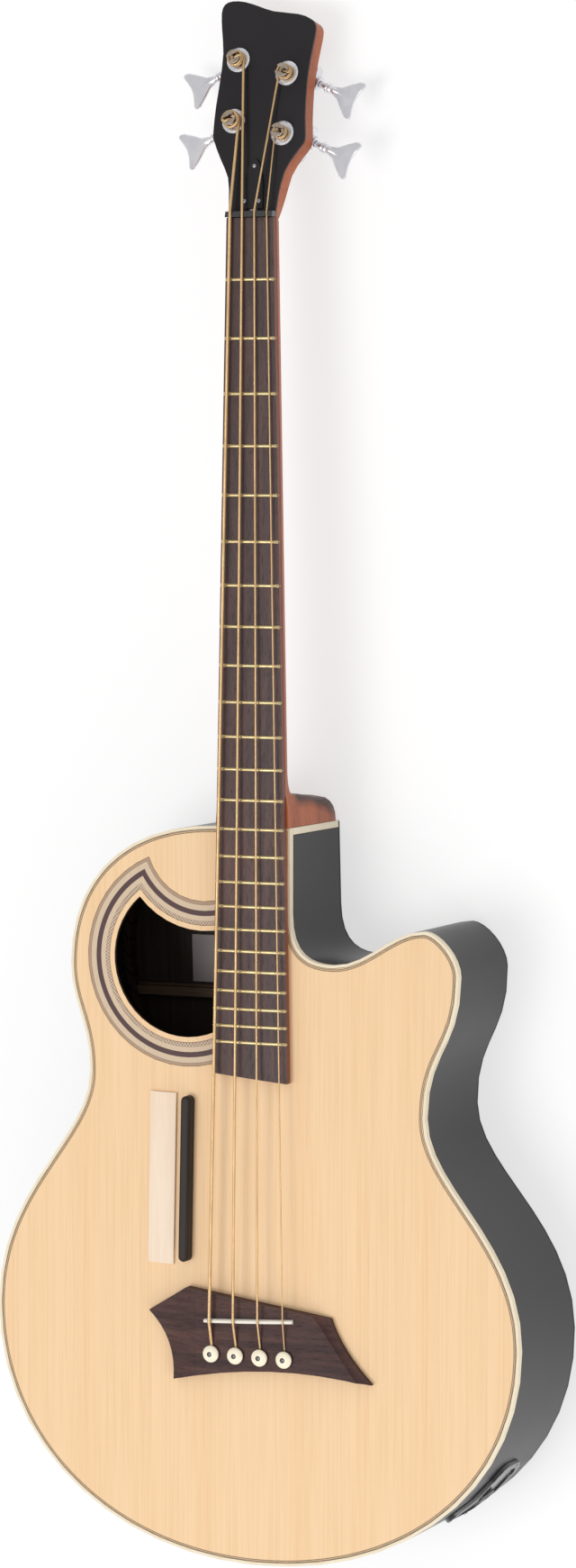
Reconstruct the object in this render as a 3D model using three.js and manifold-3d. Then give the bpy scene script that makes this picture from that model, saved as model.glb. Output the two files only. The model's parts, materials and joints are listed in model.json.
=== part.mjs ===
// Acoustic bass guitar with a cutaway, four strings and a braced sound box, in millimetres.
// Most pieces are modelled in the playing frame: X to the treble side, Y to the headstock and
// Z out of the soundboard, with the origin on the soundboard at the middle of the saddle.
// The box gets shallower towards the neck, so the playing frame leans by the taper angle in
// the part frame, where the flat back lies on Z = 0.
import * as THREE from "three";
import { mergeVertices } from "three/addons/utils/BufferGeometryUtils.js";
import Module from "manifold-3d";

const wasm = await Module();
wasm.setup();

// Clearances that every piece shares
const gap = 0.3;
const overrun = 2;

// Scale, frets and strings
const scaleLength = 863.6;
const fretCount = 24;
const semitones = 12;
const bodyFret = 14;
const stringNames = ["e", "a", "d", "g"];
const stringRadiusE = 1.33;
const stringRadiusA = 1.08;
const stringRadiusD = 0.83;
const stringRadiusG = 0.57;
const stringRadii = { e: stringRadiusE, a: stringRadiusA, d: stringRadiusD, g: stringRadiusG };
const nutSpread = 31;
const saddleSpread = 63.5;
const fretboardRadius = 380;

const fretY = (n) => scaleLength * 2 ** (-n / semitones);

// Sound box: its lower half is placed from the saddle, its upper half from the neck joint
const jointPastFret = 1.3;
const neckJointY = fretY(bodyFret) + jointPastFret;
const tailY = -203;
const depthAtTail = 133.4;
const depthAtJoint = 98.3;
const trebleBout = { x: 227, y: -15 };
const bassBout = { x: -227, y: -8 };
const trebleWaistOffset = 223.5;
const hornOffset = 111.5;
const hornTopOffset = 76.8;
const notchOffset = 106.5;
const cutawayWallOffset = 67;
const bassUpperBoutOffset = 114;
const bassWaistOffset = 200.5;
const trebleWaist = { x: 147, y: neckJointY - trebleWaistOffset };
const horn = { x: 175, y: neckJointY - hornOffset };
const hornTop = { x: 145.7, y: neckJointY - hornTopOffset };
const notch = { x: 68.2, y: neckJointY - notchOffset };
const cutawayWall = { x: 31.7, y: neckJointY - cutawayWallOffset };
const bassUpperBout = { x: -161, y: neckJointY - bassUpperBoutOffset };
const bassWaist = { x: -144, y: neckJointY - bassWaistOffset };
const topThickness = 3.2;
const backThickness = 3;
const sideThickness = 2.4;
const bindingHeight = 6;
const liningWidth = 6;
const topLiningHeight = 12;
const backLiningHeight = 14;
const heelTrimWidth = 5.5;

// Soundhole and rosette
const holeOffset = 106.5;
const holeTopOffset = 10.2;
const holeCentre = { x: -59.2, y: neckJointY - holeOffset };
const holeRadius = 62.9;
const holeTopCentre = { x: -43.9, y: neckJointY - holeTopOffset };
const holeTopRadius = 73.7;
const holeEndX = -25;
const rosetteStart = 4.4;
const rosetteEnd = 23.2;
const rosetteDepth = 0.9;

// Neck, fingerboard and headstock
const nutWidth = 40.3;
const lastFretWidth = 64.3;
const boardThickness = 6;
const boardTop = 8.5;
const boardPastFretBass = 25.4;
const boardPastFretTreble = 31.4;
const boardEndBass = fretY(fretCount) - boardPastFretBass;
const boardEndTreble = fretY(fretCount) - boardPastFretTreble;
const fretWidth = 2.8;
const fretHeight = 1.2;
const fretTang = 0.6;
const fretSetback = 0.4;
const nutThickness = 4.5;
const nutRise = 2;
const neckDepthAtNut = 16;
const neckDepthAtHeel = 19;
const heelLength = 26.5;
const heelBackSetback = 2;
const heelFilletLength = 17;
const heelFilletDepth = 11;
const headAngle = THREE.MathUtils.degToRad(10.5);
const headLength = 168.8;
const headHalfWidth = 40;
const headThickness = 14;
const faceThickness = 1.6;

// Bridge
const bridgeHeight = 9;
const bridgeSpan = 193.7;
const bridgeDepth = 75;
const wingTipHeight = 4.6;
const saddleLength = 76.8;
const saddleThickness = 3.2;
const saddleCentreX = 0.6;
const saddleCentreY = -5.5;
const saddleSkew = THREE.MathUtils.degToRad(3.28);
const saddleCrown = 14.2;
const pinRowY = -33.8;
const pinTravel = 25;

// Tuners
const trebleLowPost = headLength * 0.3632;
const trebleHighPost = headLength * 0.6463;
const bassLowPost = headLength * 0.4265;
const bassHighPost = headLength * 0.7168;
const postX = 21.3;
const keyAngle = THREE.MathUtils.degToRad(25);
const postShaftRadius = 4.7;
const postWaistRadius = 4.3;
const postHeight = 12;

// Values that follow from the driving dimensions
const depthSlope = (depthAtTail - depthAtJoint) / (neckJointY - tailY);
const taperAngle = Math.atan(depthSlope);
const depthAtSaddle = depthAtTail + depthSlope * tailY;
const boardBottom = boardTop - boardThickness;
const neckTop = boardBottom - gap;
const fretPlane = boardTop + fretHeight;
const boardHalfWidth = (y) =>
  (nutWidth + ((lastFretWidth - nutWidth) * (scaleLength - y)) / (scaleLength - fretY(fretCount))) / 2;
const crownDrop = (x) => (x * x) / (2 * fretboardRadius);
const nutBackY = scaleLength + nutThickness;

// The part frame holds the leaning playing frame, and the playing frame holds the head frame.
const playingFrame = new THREE.Group();
playingFrame.position.z = depthAtSaddle * Math.cos(taperAngle);
playingFrame.rotation.x = -taperAngle;
playingFrame.updateMatrix();
const headFrame = new THREE.Matrix4()
  .makeTranslation(0, nutBackY + gap, neckTop + faceThickness + gap)
  .multiply(new THREE.Matrix4().makeRotationX(-headAngle));

const guitar = new THREE.Group();
guitar.add(playingFrame);

// Finishes
const finish = (color, roughness, metalness = 0) =>
  new THREE.MeshStandardMaterial({ color, roughness, metalness, flatShading: true });
const finishes = {
  spruce: finish(0xf0cf9f, 0.35),
  braceSpruce: finish(0xe2c79a, 0.7),
  blackLacquer: finish(0x2e2b2e, 0.3),
  cream: finish(0xefe3c0, 0.4),
  mahogany: finish(0x9c5534, 0.45),
  rosewood: finish(0x4a3531, 0.5),
  maple: finish(0xf1dcc6, 0.5),
  ebony: finish(0x1f1c1c, 0.35),
  blackFace: finish(0x262425, 0.35),
  bone: finish(0xf2efe6, 0.4),
  pinIvory: finish(0xf3ecca, 0.35),
  bronze: finish(0xb9834a, 0.4, 0.9),
  chrome: finish(0xc9c9cd, 0.25, 1),
  steel: finish(0x8d8f93, 0.4, 1),
};

// Solids: every piece becomes one closed body before it is joined or cut.
function solidOf(geometry) {
  const bare = geometry.clone();
  bare.deleteAttribute("normal");
  bare.deleteAttribute("uv");
  const merged = mergeVertices(bare);
  const faces = [];
  const index = merged.index.array;
  for (let i = 0; i < index.length; i += 3) {
    const [a, b, c] = index.subarray(i, i + 3);
    if (a !== b && b !== c && c !== a) faces.push(a, b, c);
  }
  const vertProperties = new Float32Array(merged.attributes.position.array);
  const made = (triVerts) => new wasm.Manifold(new wasm.Mesh({ numProp: 3, vertProperties, triVerts }));
  const body = made(new Uint32Array(faces));
  return body.volume() > 0 ? body : made(new Uint32Array(faces.reverse()));
}

function geometryOf(solid) {
  const { numProp, vertProperties, triVerts } = solid.getMesh();
  const points = new Float32Array((vertProperties.length / numProp) * 3);
  for (let i = 0; i < points.length / 3; i++) {
    points.set(vertProperties.subarray(i * numProp, i * numProp + 3), i * 3);
  }
  const geometry = new THREE.BufferGeometry();
  geometry.setAttribute("position", new THREE.BufferAttribute(points, 3));
  geometry.setIndex(new THREE.BufferAttribute(triVerts, 1));
  const faceted = geometry.toNonIndexed();
  faceted.computeVertexNormals();
  return faceted;
}

const moved = (solid, matrix) => solidOf(geometryOf(solid).applyMatrix4(matrix));

function addPiece(name, solid, material) {
  const mesh = new THREE.Mesh(geometryOf(solid), material);
  mesh.name = name;
  playingFrame.add(mesh);
  return solid;
}

// Boxes, given by their low and high sides, in the playing frame and in the part frame
function boxGeometry([x0, x1], [y0, y1], [z0, z1]) {
  const geometry = new THREE.BoxGeometry(x1 - x0, y1 - y0, z1 - z0);
  return geometry.translate((x0 + x1) / 2, (y0 + y1) / 2, (z0 + z1) / 2);
}
const box = (x, y, z) => solidOf(boxGeometry(x, y, z));
const toPlaying = playingFrame.matrix.clone().invert();
const partBox = (x, y, z) => solidOf(boxGeometry(x, y, z).applyMatrix4(toPlaying));

// A flat outline pushed out along Z
function prism(outline, z0, z1) {
  const geometry = new THREE.ExtrudeGeometry(new THREE.Shape(outline), {
    depth: z1 - z0,
    bevelEnabled: false,
  });
  return solidOf(geometry.translate(0, 0, z0));
}

// A profile of [radius, height] points turned about Z
function turned(profile, sides) {
  const points = profile.map(([r, z]) => new THREE.Vector2(r, z));
  return solidOf(new THREE.LatheGeometry(points, sides).rotateX(Math.PI / 2));
}
const cylinder = (radius, z0, z1, sides = 14) =>
  turned([[0, z0], [radius, z0], [radius, z1], [0, z1]], sides);
const at = (x, y, z) => new THREE.Matrix4().makeTranslation(x, y, z);

// A skin over rings of equal count, closed by a fan at each end
function loft(rings) {
  const count = rings[0].length;
  const points = rings.flat();
  const faces = [];
  for (let r = 0; r + 1 < rings.length; r++) {
    for (let i = 0; i < count; i++) {
      const a = r * count + i;
      const b = r * count + ((i + 1) % count);
      faces.push(a, b, a + count, b, b + count, a + count);
    }
  }
  const ends = [[0, 1], [(rings.length - 1) * count, -1]];
  for (const [start, turn] of ends) {
    const ring = points.slice(start, start + count);
    const middle = ring.reduce((sum, p) => sum.add(p), new THREE.Vector3()).divideScalar(count);
    points.push(middle);
    for (let i = 0; i < count; i++) {
      const pair = [start + i, start + ((i + 1) % count)];
      if (turn > 0) pair.reverse();
      faces.push(pair[0], pair[1], points.length - 1);
    }
  }
  const geometry = new THREE.BufferGeometry().setFromPoints(points);
  geometry.setIndex(faces);
  return solidOf(geometry);
}

// A round section carried along a list of points without twisting
function tube(points, radius, sides) {
  const tangents = points.map((p, i) => {
    const before = points[Math.max(i - 1, 0)];
    const after = points[Math.min(i + 1, points.length - 1)];
    return after.clone().sub(before).normalize();
  });
  const side = new THREE.Vector3(1, 0, 0);
  side.addScaledVector(tangents[0], -side.dot(tangents[0])).normalize();
  const turn = new THREE.Quaternion();
  const rings = points.map((p, i) => {
    if (i > 0) side.applyQuaternion(turn.setFromUnitVectors(tangents[i - 1], tangents[i]));
    side.addScaledVector(tangents[i], -side.dot(tangents[i])).normalize();
    const up = new THREE.Vector3().crossVectors(tangents[i], side);
    return Array.from({ length: sides }, (_, k) => {
      const angle = (k / sides) * 2 * Math.PI;
      const offset = side.clone().multiplyScalar(Math.cos(angle) * radius);
      return offset.addScaledVector(up, Math.sin(angle) * radius).add(p);
    });
  });
  return loft(rings);
}

// Outline of the box: each stop lies where the outline runs along X or Y, and the curve to it
// has handles that are shares of the distance between the two stops.
const outlineStops = [
  { x: 0, y: tailY, along: "x" },
  { ...trebleBout, along: "y", shares: [0.583, 0.581], steps: 13 },
  { ...trebleWaist, along: "y", shares: [0.486, 0.303], steps: 11 },
  { ...horn, along: "y", shares: [0.483, 0.502], steps: 7 },
  { ...hornTop, along: "x", shares: [0.462, 0.384], steps: 8 },
  { ...notch, along: "x", shares: [0.349, 0.372], steps: 7 },
  { ...cutawayWall, along: "y", shares: [0.537, 0.861], steps: 8 },
  { x: cutawayWall.x, y: neckJointY, along: "x", shares: [0.33, 0], steps: 1 },
  { x: -cutawayWall.x, y: neckJointY, along: "x", shares: [0.33, 0.33], steps: 1 },
  { ...bassUpperBout, along: "y", shares: [0.6, 0.632], steps: 11 },
  { ...bassWaist, along: "y", shares: [0.38, 0.467], steps: 7 },
  { ...bassBout, along: "y", shares: [0.284, 0.493], steps: 11 },
  { x: 0, y: tailY, along: "x", shares: [0.593, 0.557], steps: 13 },
];

function bodyOutline() {
  const points = [];
  outlineStops.slice(1).forEach((stop, i) => {
    const last = outlineStops[i];
    const from = new THREE.Vector2(last.x, last.y);
    const to = new THREE.Vector2(stop.x, stop.y);
    const leave = from.clone();
    const arrive = to.clone();
    leave[last.along] += stop.shares[0] * (to[last.along] - from[last.along]);
    arrive[stop.along] -= stop.shares[1] * (to[stop.along] - from[stop.along]);
    const curve = new THREE.CubicBezierCurve(from, leave, arrive, to);
    points.push(...curve.getPoints(stop.steps).slice(0, -1));
  });
  return points;
}

// The outline moved inwards, or outwards by a negative distance, with mitred corners
function inset(outline, distance) {
  const count = outline.length;
  const leftOf = (a, b) => {
    const edge = b.clone().sub(a).normalize();
    return new THREE.Vector2(-edge.y, edge.x);
  };
  return outline.map((p, i) => {
    const before = leftOf(outline[(i + count - 1) % count], p);
    const after = leftOf(p, outline[(i + 1) % count]);
    const share = distance / (1 + before.dot(after));
    return p.clone().addScaledVector(before.add(after), share);
  });
}

const outline = bodyOutline();
const deep = -depthAtTail - overrun;
const far = trebleBout.x + overrun;
const farY = neckJointY + overrun;
const wallInside = inset(outline, sideThickness);
const insideWall = inset(outline, sideThickness + gap);
const insideLining = inset(outline, sideThickness + gap + liningWidth);
const insideBraces = inset(outline, sideThickness + gap + liningWidth + gap);
const underTop = -topThickness - gap;
const onBack = backThickness + gap;
const belowHeight = (height) => partBox([-far, far], [-far, farY + overrun], [deep, height]);

const pointRound = (centre, radius, angle) =>
  new THREE.Vector2(centre.x + radius * Math.cos(angle), centre.y + radius * Math.sin(angle));

// Soundhole: a circle with a concave top, closed by a straight edge under the fingerboard.
// A positive growth gives the offset outline that the rosette follows.
function holeOutline(growth, endX) {
  const ring = holeRadius + growth;
  const top = holeTopRadius - growth;
  const across = new THREE.Vector2(holeTopCentre.x - holeCentre.x, holeTopCentre.y - holeCentre.y);
  const reach = across.length();
  const along = (ring ** 2 - top ** 2 + reach ** 2) / (2 * reach);
  const aside = Math.sqrt(ring ** 2 - along ** 2);
  across.normalize();
  const cuspX = holeCentre.x + across.x * along - across.y * aside;
  const cuspY = holeCentre.y + across.y * along + across.x * aside;
  const ringStart = Math.atan2(cuspY - holeCentre.y, cuspX - holeCentre.x);
  const ringEnd = -Math.acos((endX - holeCentre.x) / ring);
  const topStart = Math.atan2(cuspY - holeTopCentre.y, cuspX - holeTopCentre.x);
  const topEnd = -Math.acos((endX - holeTopCentre.x) / top);
  const points = [];
  const ringSteps = 22;
  const topSteps = 8;
  for (let i = 0; i <= ringSteps; i++) {
    const angle = ringStart + ((ringEnd + 2 * Math.PI - ringStart) * i) / ringSteps;
    points.push(pointRound(holeCentre, ring, angle));
  }
  for (let i = 0; i < topSteps; i++) {
    const angle = topEnd + ((topStart - topEnd) * i) / topSteps;
    points.push(pointRound(holeTopCentre, top, angle));
  }
  return points;
}

// Strings: places that the bridge, the nut and the posts share
const pinHeadRadius = 6.8;
const pinShankRadius = 3.6;
const pinTipRadius = 2.7;
const pinLength = 23;
const stringFromPin = pinShankRadius + gap + stringRadii.e;
const stringHoleY = pinRowY + stringFromPin;
const spreadShares = { e: -0.5, a: -1 / 6, d: 1 / 6, g: 0.5 };
const strings = stringNames.map((name) => {
  const radius = stringRadii[name];
  const saddleX = saddleSpread * spreadShares[name];
  const nutX = nutSpread * spreadShares[name];
  return {
    name,
    radius,
    saddle: new THREE.Vector3(
      saddleX,
      saddleCentreY + (saddleX - saddleCentreX) * Math.tan(saddleSkew),
      saddleCrown + gap + radius - crownDrop(saddleX),
    ),
    nut: new THREE.Vector3(nutX, scaleLength, fretPlane + gap + radius - crownDrop(nutX)),
  };
});

// The string's way from its ball end up through the bridge and over the saddle
const bendRadius = 3.5;
const bendSteps = 4;
const bridgeClear = 2.6;
function bridgeRoute(string) {
  const turnZ = bridgeHeight - bridgeClear;
  const rise = Math.atan2(string.saddle.z - turnZ - bendRadius, string.saddle.y - stringHoleY - bendRadius);
  const points = [];
  for (let i = 0; i <= bendSteps; i++) {
    const angle = ((Math.PI / 2 - rise) * i) / bendSteps;
    const y = stringHoleY + bendRadius * (1 - Math.cos(angle));
    points.push(new THREE.Vector3(string.saddle.x, y, turnZ + bendRadius * Math.sin(angle)));
  }
  return points;
}

const ballRadius = 2.2;
const ballLength = 4;
const bridgePlateThickness = 3;
const ballZ = underTop - bridgePlateThickness - gap - ballRadius;
const ballPoint = (string) => new THREE.Vector3(string.saddle.x, stringHoleY, ballZ);
const grooveSides = 6;
const groove = (string) => {
  const route = [ballPoint(string), ...bridgeRoute(string), string.saddle];
  route[0].z -= overrun;
  return tube(route, string.radius + 1.5 * gap, grooveSides);
};

// Everything that passes through the top at the bridge: pins and strings
const pinHoleRadius = pinShankRadius + gap;
function cutForStrings(solid) {
  let cut = solid;
  for (const string of strings) {
    const hole = cylinder(pinHoleRadius, -depthAtTail / 2, bridgeHeight + overrun);
    cut = cut.subtract(moved(hole, at(string.saddle.x, pinRowY, 0))).subtract(groove(string));
  }
  return cut;
}

// Sound box
function buildBox() {
  const ledge = -bindingHeight - gap;
  const wall = prism(outline, deep, ledge)
    .subtract(prism(wallInside, deep - overrun, 0))
    .subtract(belowHeight(onBack));
  const jackHole = moved(cylinder(jackBarrelRadius + gap, -jackBarrelLength, jackBarrelLength), jackFrame);
  const trimEnd = neckJointY - heelTrimWidth;
  const trebleRegion = box([gap / 2, far], [-far, trimEnd - gap], [deep - overrun, overrun]);
  const trimInner = cutawayWall.x - sideThickness;
  const bassRegion = box([-far, -gap / 2], [-far, farY], [deep - overrun, overrun]).add(
    box([-overrun, trimInner - gap], [trimEnd, farY], [deep - overrun, overrun]),
  );
  addPiece("treble_side", wall.intersect(trebleRegion).subtract(jackHole), finishes.blackLacquer);
  addPiece("bass_side", wall.intersect(bassRegion), finishes.blackLacquer);
  const trim = box([trimInner, cutawayWall.x], [trimEnd, neckJointY], [deep, ledge]);
  addPiece("heel_joint_trim", trim.subtract(belowHeight(onBack)), finishes.cream);

  const hole = prism(holeOutline(0, holeEndX), -topThickness - overrun, overrun);
  const bedEdge = holeOutline(rosetteEnd + gap, rosetteEndX);
  const bedCore = prism(holeOutline(rosetteStart - gap, rosetteEndX), -topThickness, overrun);
  const rosetteBed = prism(bedEdge, -rosetteDepth - gap, overrun).subtract(bedCore);
  const top = prism(inset(outline, sideThickness + gap), -topThickness, 0);
  addPiece("soundboard", cutForStrings(top.subtract(hole).subtract(rosetteBed)), finishes.spruce);
  const rosette = prism(holeOutline(rosetteEnd, rosetteEndX - gap), -rosetteDepth, 0).subtract(
    prism(holeOutline(rosetteStart, rosetteEndX), -topThickness, overrun),
  );
  addPiece("rosette", rosette, finishes.mahogany);

  const insideBinding = prism(wallInside, -bindingHeight - overrun, overrun);
  const binding = prism(outline, -bindingHeight, 0).subtract(insideBinding);
  addPiece("top_binding", binding, finishes.cream);
  const backSlab = partBox([-far, far], [-far, farY + overrun], [0, backThickness]);
  addPiece("back", prism(outline, deep - overrun, 0).intersect(backSlab), finishes.blackLacquer);

  // Blocks glued in at the two ends, and the linings that run between them
  const blockRoom = (grow, solid) => {
    const neckX = [-neckBlockHalfWidth - grow, cutawayWall.x];
    const neckBlock = box(neckX, [neckJointY - neckBlockLength - grow, farY], [deep, underTop]);
    const tailX = [-tailBlockHalfWidth - grow, tailBlockHalfWidth + grow];
    const tailBlock = box(tailX, [tailY - overrun, tailY + tailBlockLength + grow], [deep, underTop]);
    return solid ? [neckBlock, tailBlock] : neckBlock.add(tailBlock);
  };
  const boxInside = prism(insideWall, deep, underTop).subtract(belowHeight(onBack));
  const [neckRoom, tailRoom] = blockRoom(0, true);
  addPiece("neck_block", boxInside.intersect(neckRoom), finishes.mahogany);
  addPiece("tail_block", boxInside.intersect(tailRoom), finishes.mahogany);
  const liningRing = boxInside
    .subtract(prism(insideLining, deep - overrun, 0))
    .subtract(blockRoom(gap, false));
  const topSlab = box([-far, far], [-far, farY], [underTop - topLiningHeight, underTop]);
  const treblePart = box([0, far], [-far, farY], [deep, 0]);
  const bassPart = box([-far, 0], [-far, farY], [deep, 0]);
  const backLiningSlab = partBox([-far, far], [-far, farY], [0, onBack + backLiningHeight]);
  const linings = { treble: treblePart, bass: bassPart };
  for (const [side, region] of Object.entries(linings)) {
    const part = liningRing.intersect(region);
    addPiece(side + "_top_lining", part.intersect(topSlab), finishes.mahogany);
    addPiece(side + "_back_lining", part.intersect(backLiningSlab), finishes.mahogany);
  }
}

// Output jack: a dished oval plate bent to the side of the lower bout, with its socket
const jackShare = 0.62;
const jackPlateLength = 72;
const jackPlateHeight = 48;
const jackPlateThickness = 3;
const jackPlateCorner = 16;
const jackDepth = 64;
const jackBarrelRadius = 4.7;
const jackBarrelLength = 30;
const jackBoreRadius = 3.2;
const jackFlangeRadius = 8;
const jackFlangeThickness = 2.5;
const jackSides = 14;

const trebleBoutCurve = outline.slice(0, outlineStops[1].steps);
const jackIndex = Math.round((trebleBoutCurve.length - 1) * jackShare);
const jackPoint = trebleBoutCurve[jackIndex];
const jackEdge = trebleBoutCurve[jackIndex + 1].clone().sub(trebleBoutCurve[jackIndex - 1]).normalize();
const jackFrame = new THREE.Matrix4().makeBasis(
  new THREE.Vector3(jackEdge.x, jackEdge.y, 0),
  new THREE.Vector3(0, 0, 1),
  new THREE.Vector3(jackEdge.y, -jackEdge.x, 0),
);
jackFrame.setPosition(jackPoint.x, jackPoint.y, -jackDepth);

function roundedRectangle(halfX, halfY, corner) {
  const shape = new THREE.Shape();
  shape.absarc(halfX - corner, halfY - corner, corner, 0, Math.PI / 2);
  shape.absarc(corner - halfX, halfY - corner, corner, Math.PI / 2, Math.PI);
  shape.absarc(corner - halfX, corner - halfY, corner, Math.PI, Math.PI * 1.5);
  shape.absarc(halfX - corner, corner - halfY, corner, Math.PI * 1.5, Math.PI * 2);
  return shape.getPoints(4).slice(0, -1);
}

function buildJack() {
  const plateOutline = roundedRectangle(jackPlateLength / 2, jackPlateHeight / 2, jackPlateCorner);
  const reach = jackPlateThickness * 4;
  const oval = moved(prism(plateOutline, -reach, reach), jackFrame);
  const skinOutside = prism(inset(outline, -gap - jackPlateThickness), deep, 0);
  const skin = skinOutside.subtract(prism(inset(outline, -gap), deep - overrun, overrun));
  const dishOutline = roundedRectangle(
    jackPlateLength / 2 - jackPlateThickness * 2,
    jackPlateHeight / 2 - jackPlateThickness * 2,
    jackPlateCorner - jackPlateThickness * 2,
  );
  const dish = moved(prism(dishOutline, -reach, reach), jackFrame);
  const dishSkin = dish.intersect(prism(inset(outline, -gap - jackPlateThickness * 2), deep, 0)).subtract(
    prism(inset(outline, -gap - jackPlateThickness / 2), deep - overrun, overrun),
  );
  const bore = moved(cylinder(jackBarrelRadius + gap, -jackBarrelLength, jackBarrelLength), jackFrame);
  addPiece("jack_plate", oval.intersect(skin).subtract(dishSkin).subtract(bore), finishes.ebony);
  const flangeStart = jackPlateThickness / 2 + 2 * gap;
  const flangeEnd = flangeStart + jackFlangeThickness;
  const profile = [
    [jackBoreRadius, -jackBarrelLength],
    [jackBarrelRadius, -jackBarrelLength],
    [jackBarrelRadius, flangeStart],
    [jackFlangeRadius, flangeStart],
    [jackFlangeRadius, flangeEnd - jackFlangeThickness / 3],
    [jackBarrelRadius, flangeEnd],
    [jackBoreRadius, flangeEnd],
    [jackBoreRadius, -jackBarrelLength],
  ];
  addPiece("output_jack", moved(turned(profile, jackSides), jackFrame), finishes.steel);
}

const rosetteEndX = -24;
const neckBlockHalfWidth = 40;
const neckBlockLength = 50;
const tailBlockHalfWidth = 35;
const tailBlockLength = 19;

// Braces: bars with a ridged edge, under the top and over the back
const braceWidth = 8;
const braceHeight = 14;
const backBraceWidth = 11;
const backBraceHeight = 12;
const ridgeShare = 0.35;
const shoulderShare = 0.5;

function topBar(from, to, height) {
  const start = new THREE.Vector3(from[0], from[1], underTop);
  const end = new THREE.Vector3(to[0], to[1], underTop);
  const across = new THREE.Vector3(0, 0, 1).cross(end.clone().sub(start)).normalize();
  const section = [
    [braceWidth / 2, 0],
    [braceWidth / 2, -height * shoulderShare],
    [(braceWidth * ridgeShare) / 2, -height],
    [(-braceWidth * ridgeShare) / 2, -height],
    [-braceWidth / 2, -height * shoulderShare],
    [-braceWidth / 2, 0],
  ];
  const ring = (place) =>
    section.map(([u, z]) => place.clone().addScaledVector(across, u).setZ(place.z + z));
  return loft([ring(start), ring(end)]).intersect(prism(insideBraces, deep, overrun));
}

const upperBraceOffset = 184;
const upperBraceY = neckJointY - upperBraceOffset;
const crossOffset = 270;
const crossSetoff = 4;
const crossPoint = { x: crossSetoff, y: neckJointY - crossOffset };
const crossSlope = 0.9;
const toneBarShares = [
  { from: [-0.42, 0.31], to: [0.49, 0.47] },
  { from: [-0.27, 0.52], to: [0.53, 0.69] },
];
const backBraceOffset = 70.7;
const backBraceMiddleShare = 0.42;
const backBraceTopOffset = 150.2;

function buildBraces() {
  const upper = topBar([-far, upperBraceY], [far, upperBraceY], braceHeight);
  addPiece("upper_brace", upper, finishes.braceSpruce);
  const legEnd = (side, y) => [crossPoint.x + side * Math.abs(crossPoint.y - y) * crossSlope, y];
  const upperEnd = upperBraceY - braceWidth / 2 - gap;
  const crossed = [-1, 1].map((side) => topBar(legEnd(side, farY), legEnd(-side, tailY), braceHeight));
  const plateX = [-bridgePlateHalfWidth, bridgePlateHalfWidth];
  const plateY = [pinRowY - bridgePlateBehind, saddleCentreY + bridgePlateBehind];
  const besidePlate = box(
    [plateX[0] - gap, plateX[1] + gap],
    [plateY[0] - gap, plateY[1] + gap],
    [deep, 0],
  );
  const legRoom = box([-far, far], [tailY, upperEnd], [deep, 0]).subtract(besidePlate);
  addPiece("x_brace", crossed[0].add(crossed[1]).intersect(legRoom), finishes.braceSpruce);
  toneBarShares.forEach(({ from, to }, i) => {
    const place = ([x, y]) => [trebleBout.x * x, tailY * y];
    const bar = topBar(place(from), place(to), braceHeight * 0.75);
    addPiece("tone_bar_" + (i + 1), bar, finishes.braceSpruce);
  });
  const backBraceYs = [
    tailY + backBraceOffset,
    tailY + (neckJointY - tailY) * backBraceMiddleShare,
    neckJointY - backBraceTopOffset,
  ];
  backBraceYs.forEach((y, i) => {
    const half = backBraceWidth / 2;
    const ridge = backBraceWidth * ridgeShare;
    const shoulder = onBack + backBraceHeight * shoulderShare;
    const foot = partBox([-far, far], [y - half, y + half], [onBack, shoulder]);
    const rise = partBox([-far, far], [y - ridge, y + ridge], [onBack, onBack + backBraceHeight]);
    const bar = foot.add(rise).intersect(prism(insideBraces, deep, overrun));
    addPiece("back_brace_" + (i + 1), bar, finishes.braceSpruce);
  });
  const plate = box(plateX, plateY, [underTop - bridgePlateThickness, underTop]);
  addPiece("bridge_plate", cutForStrings(plate), finishes.maple);
}
const bridgePlateHalfWidth = 45;
const bridgePlateBehind = 14;

// Bridge: a long wing on the treble side and a short one on the bass side, both scooped
const bridgeShares = {
  bassTip: [-0.462, -0.047],
  bassTop: [-0.284, 0.233],
  trebleTop: [0.355, 0.009],
  trebleBow: [0.4, -0.327],
  trebleTip: [0.538, -0.661],
  tailBow: [0.103, -0.475],
  bassTail: [-0.347, -0.767],
  bassBow: [-0.334, -0.327],
  bassScoop: [-0.235, 0],
  trebleScoopTop: [0.31, -0.047],
  trebleScoopTip: [0.434, -0.48],
};
const bridgePoint = (name) => bridgeShares[name].map((share, i) => share * (i ? bridgeDepth : bridgeSpan));
const bowSteps = 8;

function scoop(start, direction, width, drop) {
  const radius = (width ** 2 + drop ** 2) / (2 * drop);
  const centre = [start[0] + direction[0] * width, start[1] + direction[1] * width];
  const roll = cylinder(radius, -bridgeSpan, bridgeSpan, 64);
  const lie = new THREE.Matrix4().makeBasis(
    new THREE.Vector3(0, 0, 1),
    new THREE.Vector3(direction[0], direction[1], 0),
    new THREE.Vector3(-direction[1], direction[0], 0),
  );
  lie.setPosition(centre[0], centre[1], bridgeHeight - drop + radius);
  const reach = bridgeSpan / 4;
  const beyond = new THREE.Matrix4().makeBasis(
    new THREE.Vector3(direction[0], direction[1], 0),
    new THREE.Vector3(-direction[1], direction[0], 0),
    new THREE.Vector3(0, 0, 1),
  );
  beyond.setPosition(centre[0] + direction[0] * reach, centre[1] + direction[1] * reach, 0);
  const slab = box([-reach, reach], [-bridgeSpan, bridgeSpan], [bridgeHeight - drop, bridgeHeight * 3]);
  const above = box([-far, far], [-far, far], [0, bridgeHeight * 3]);
  return moved(roll, lie).intersect(above).add(moved(slab, beyond));
}

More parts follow.
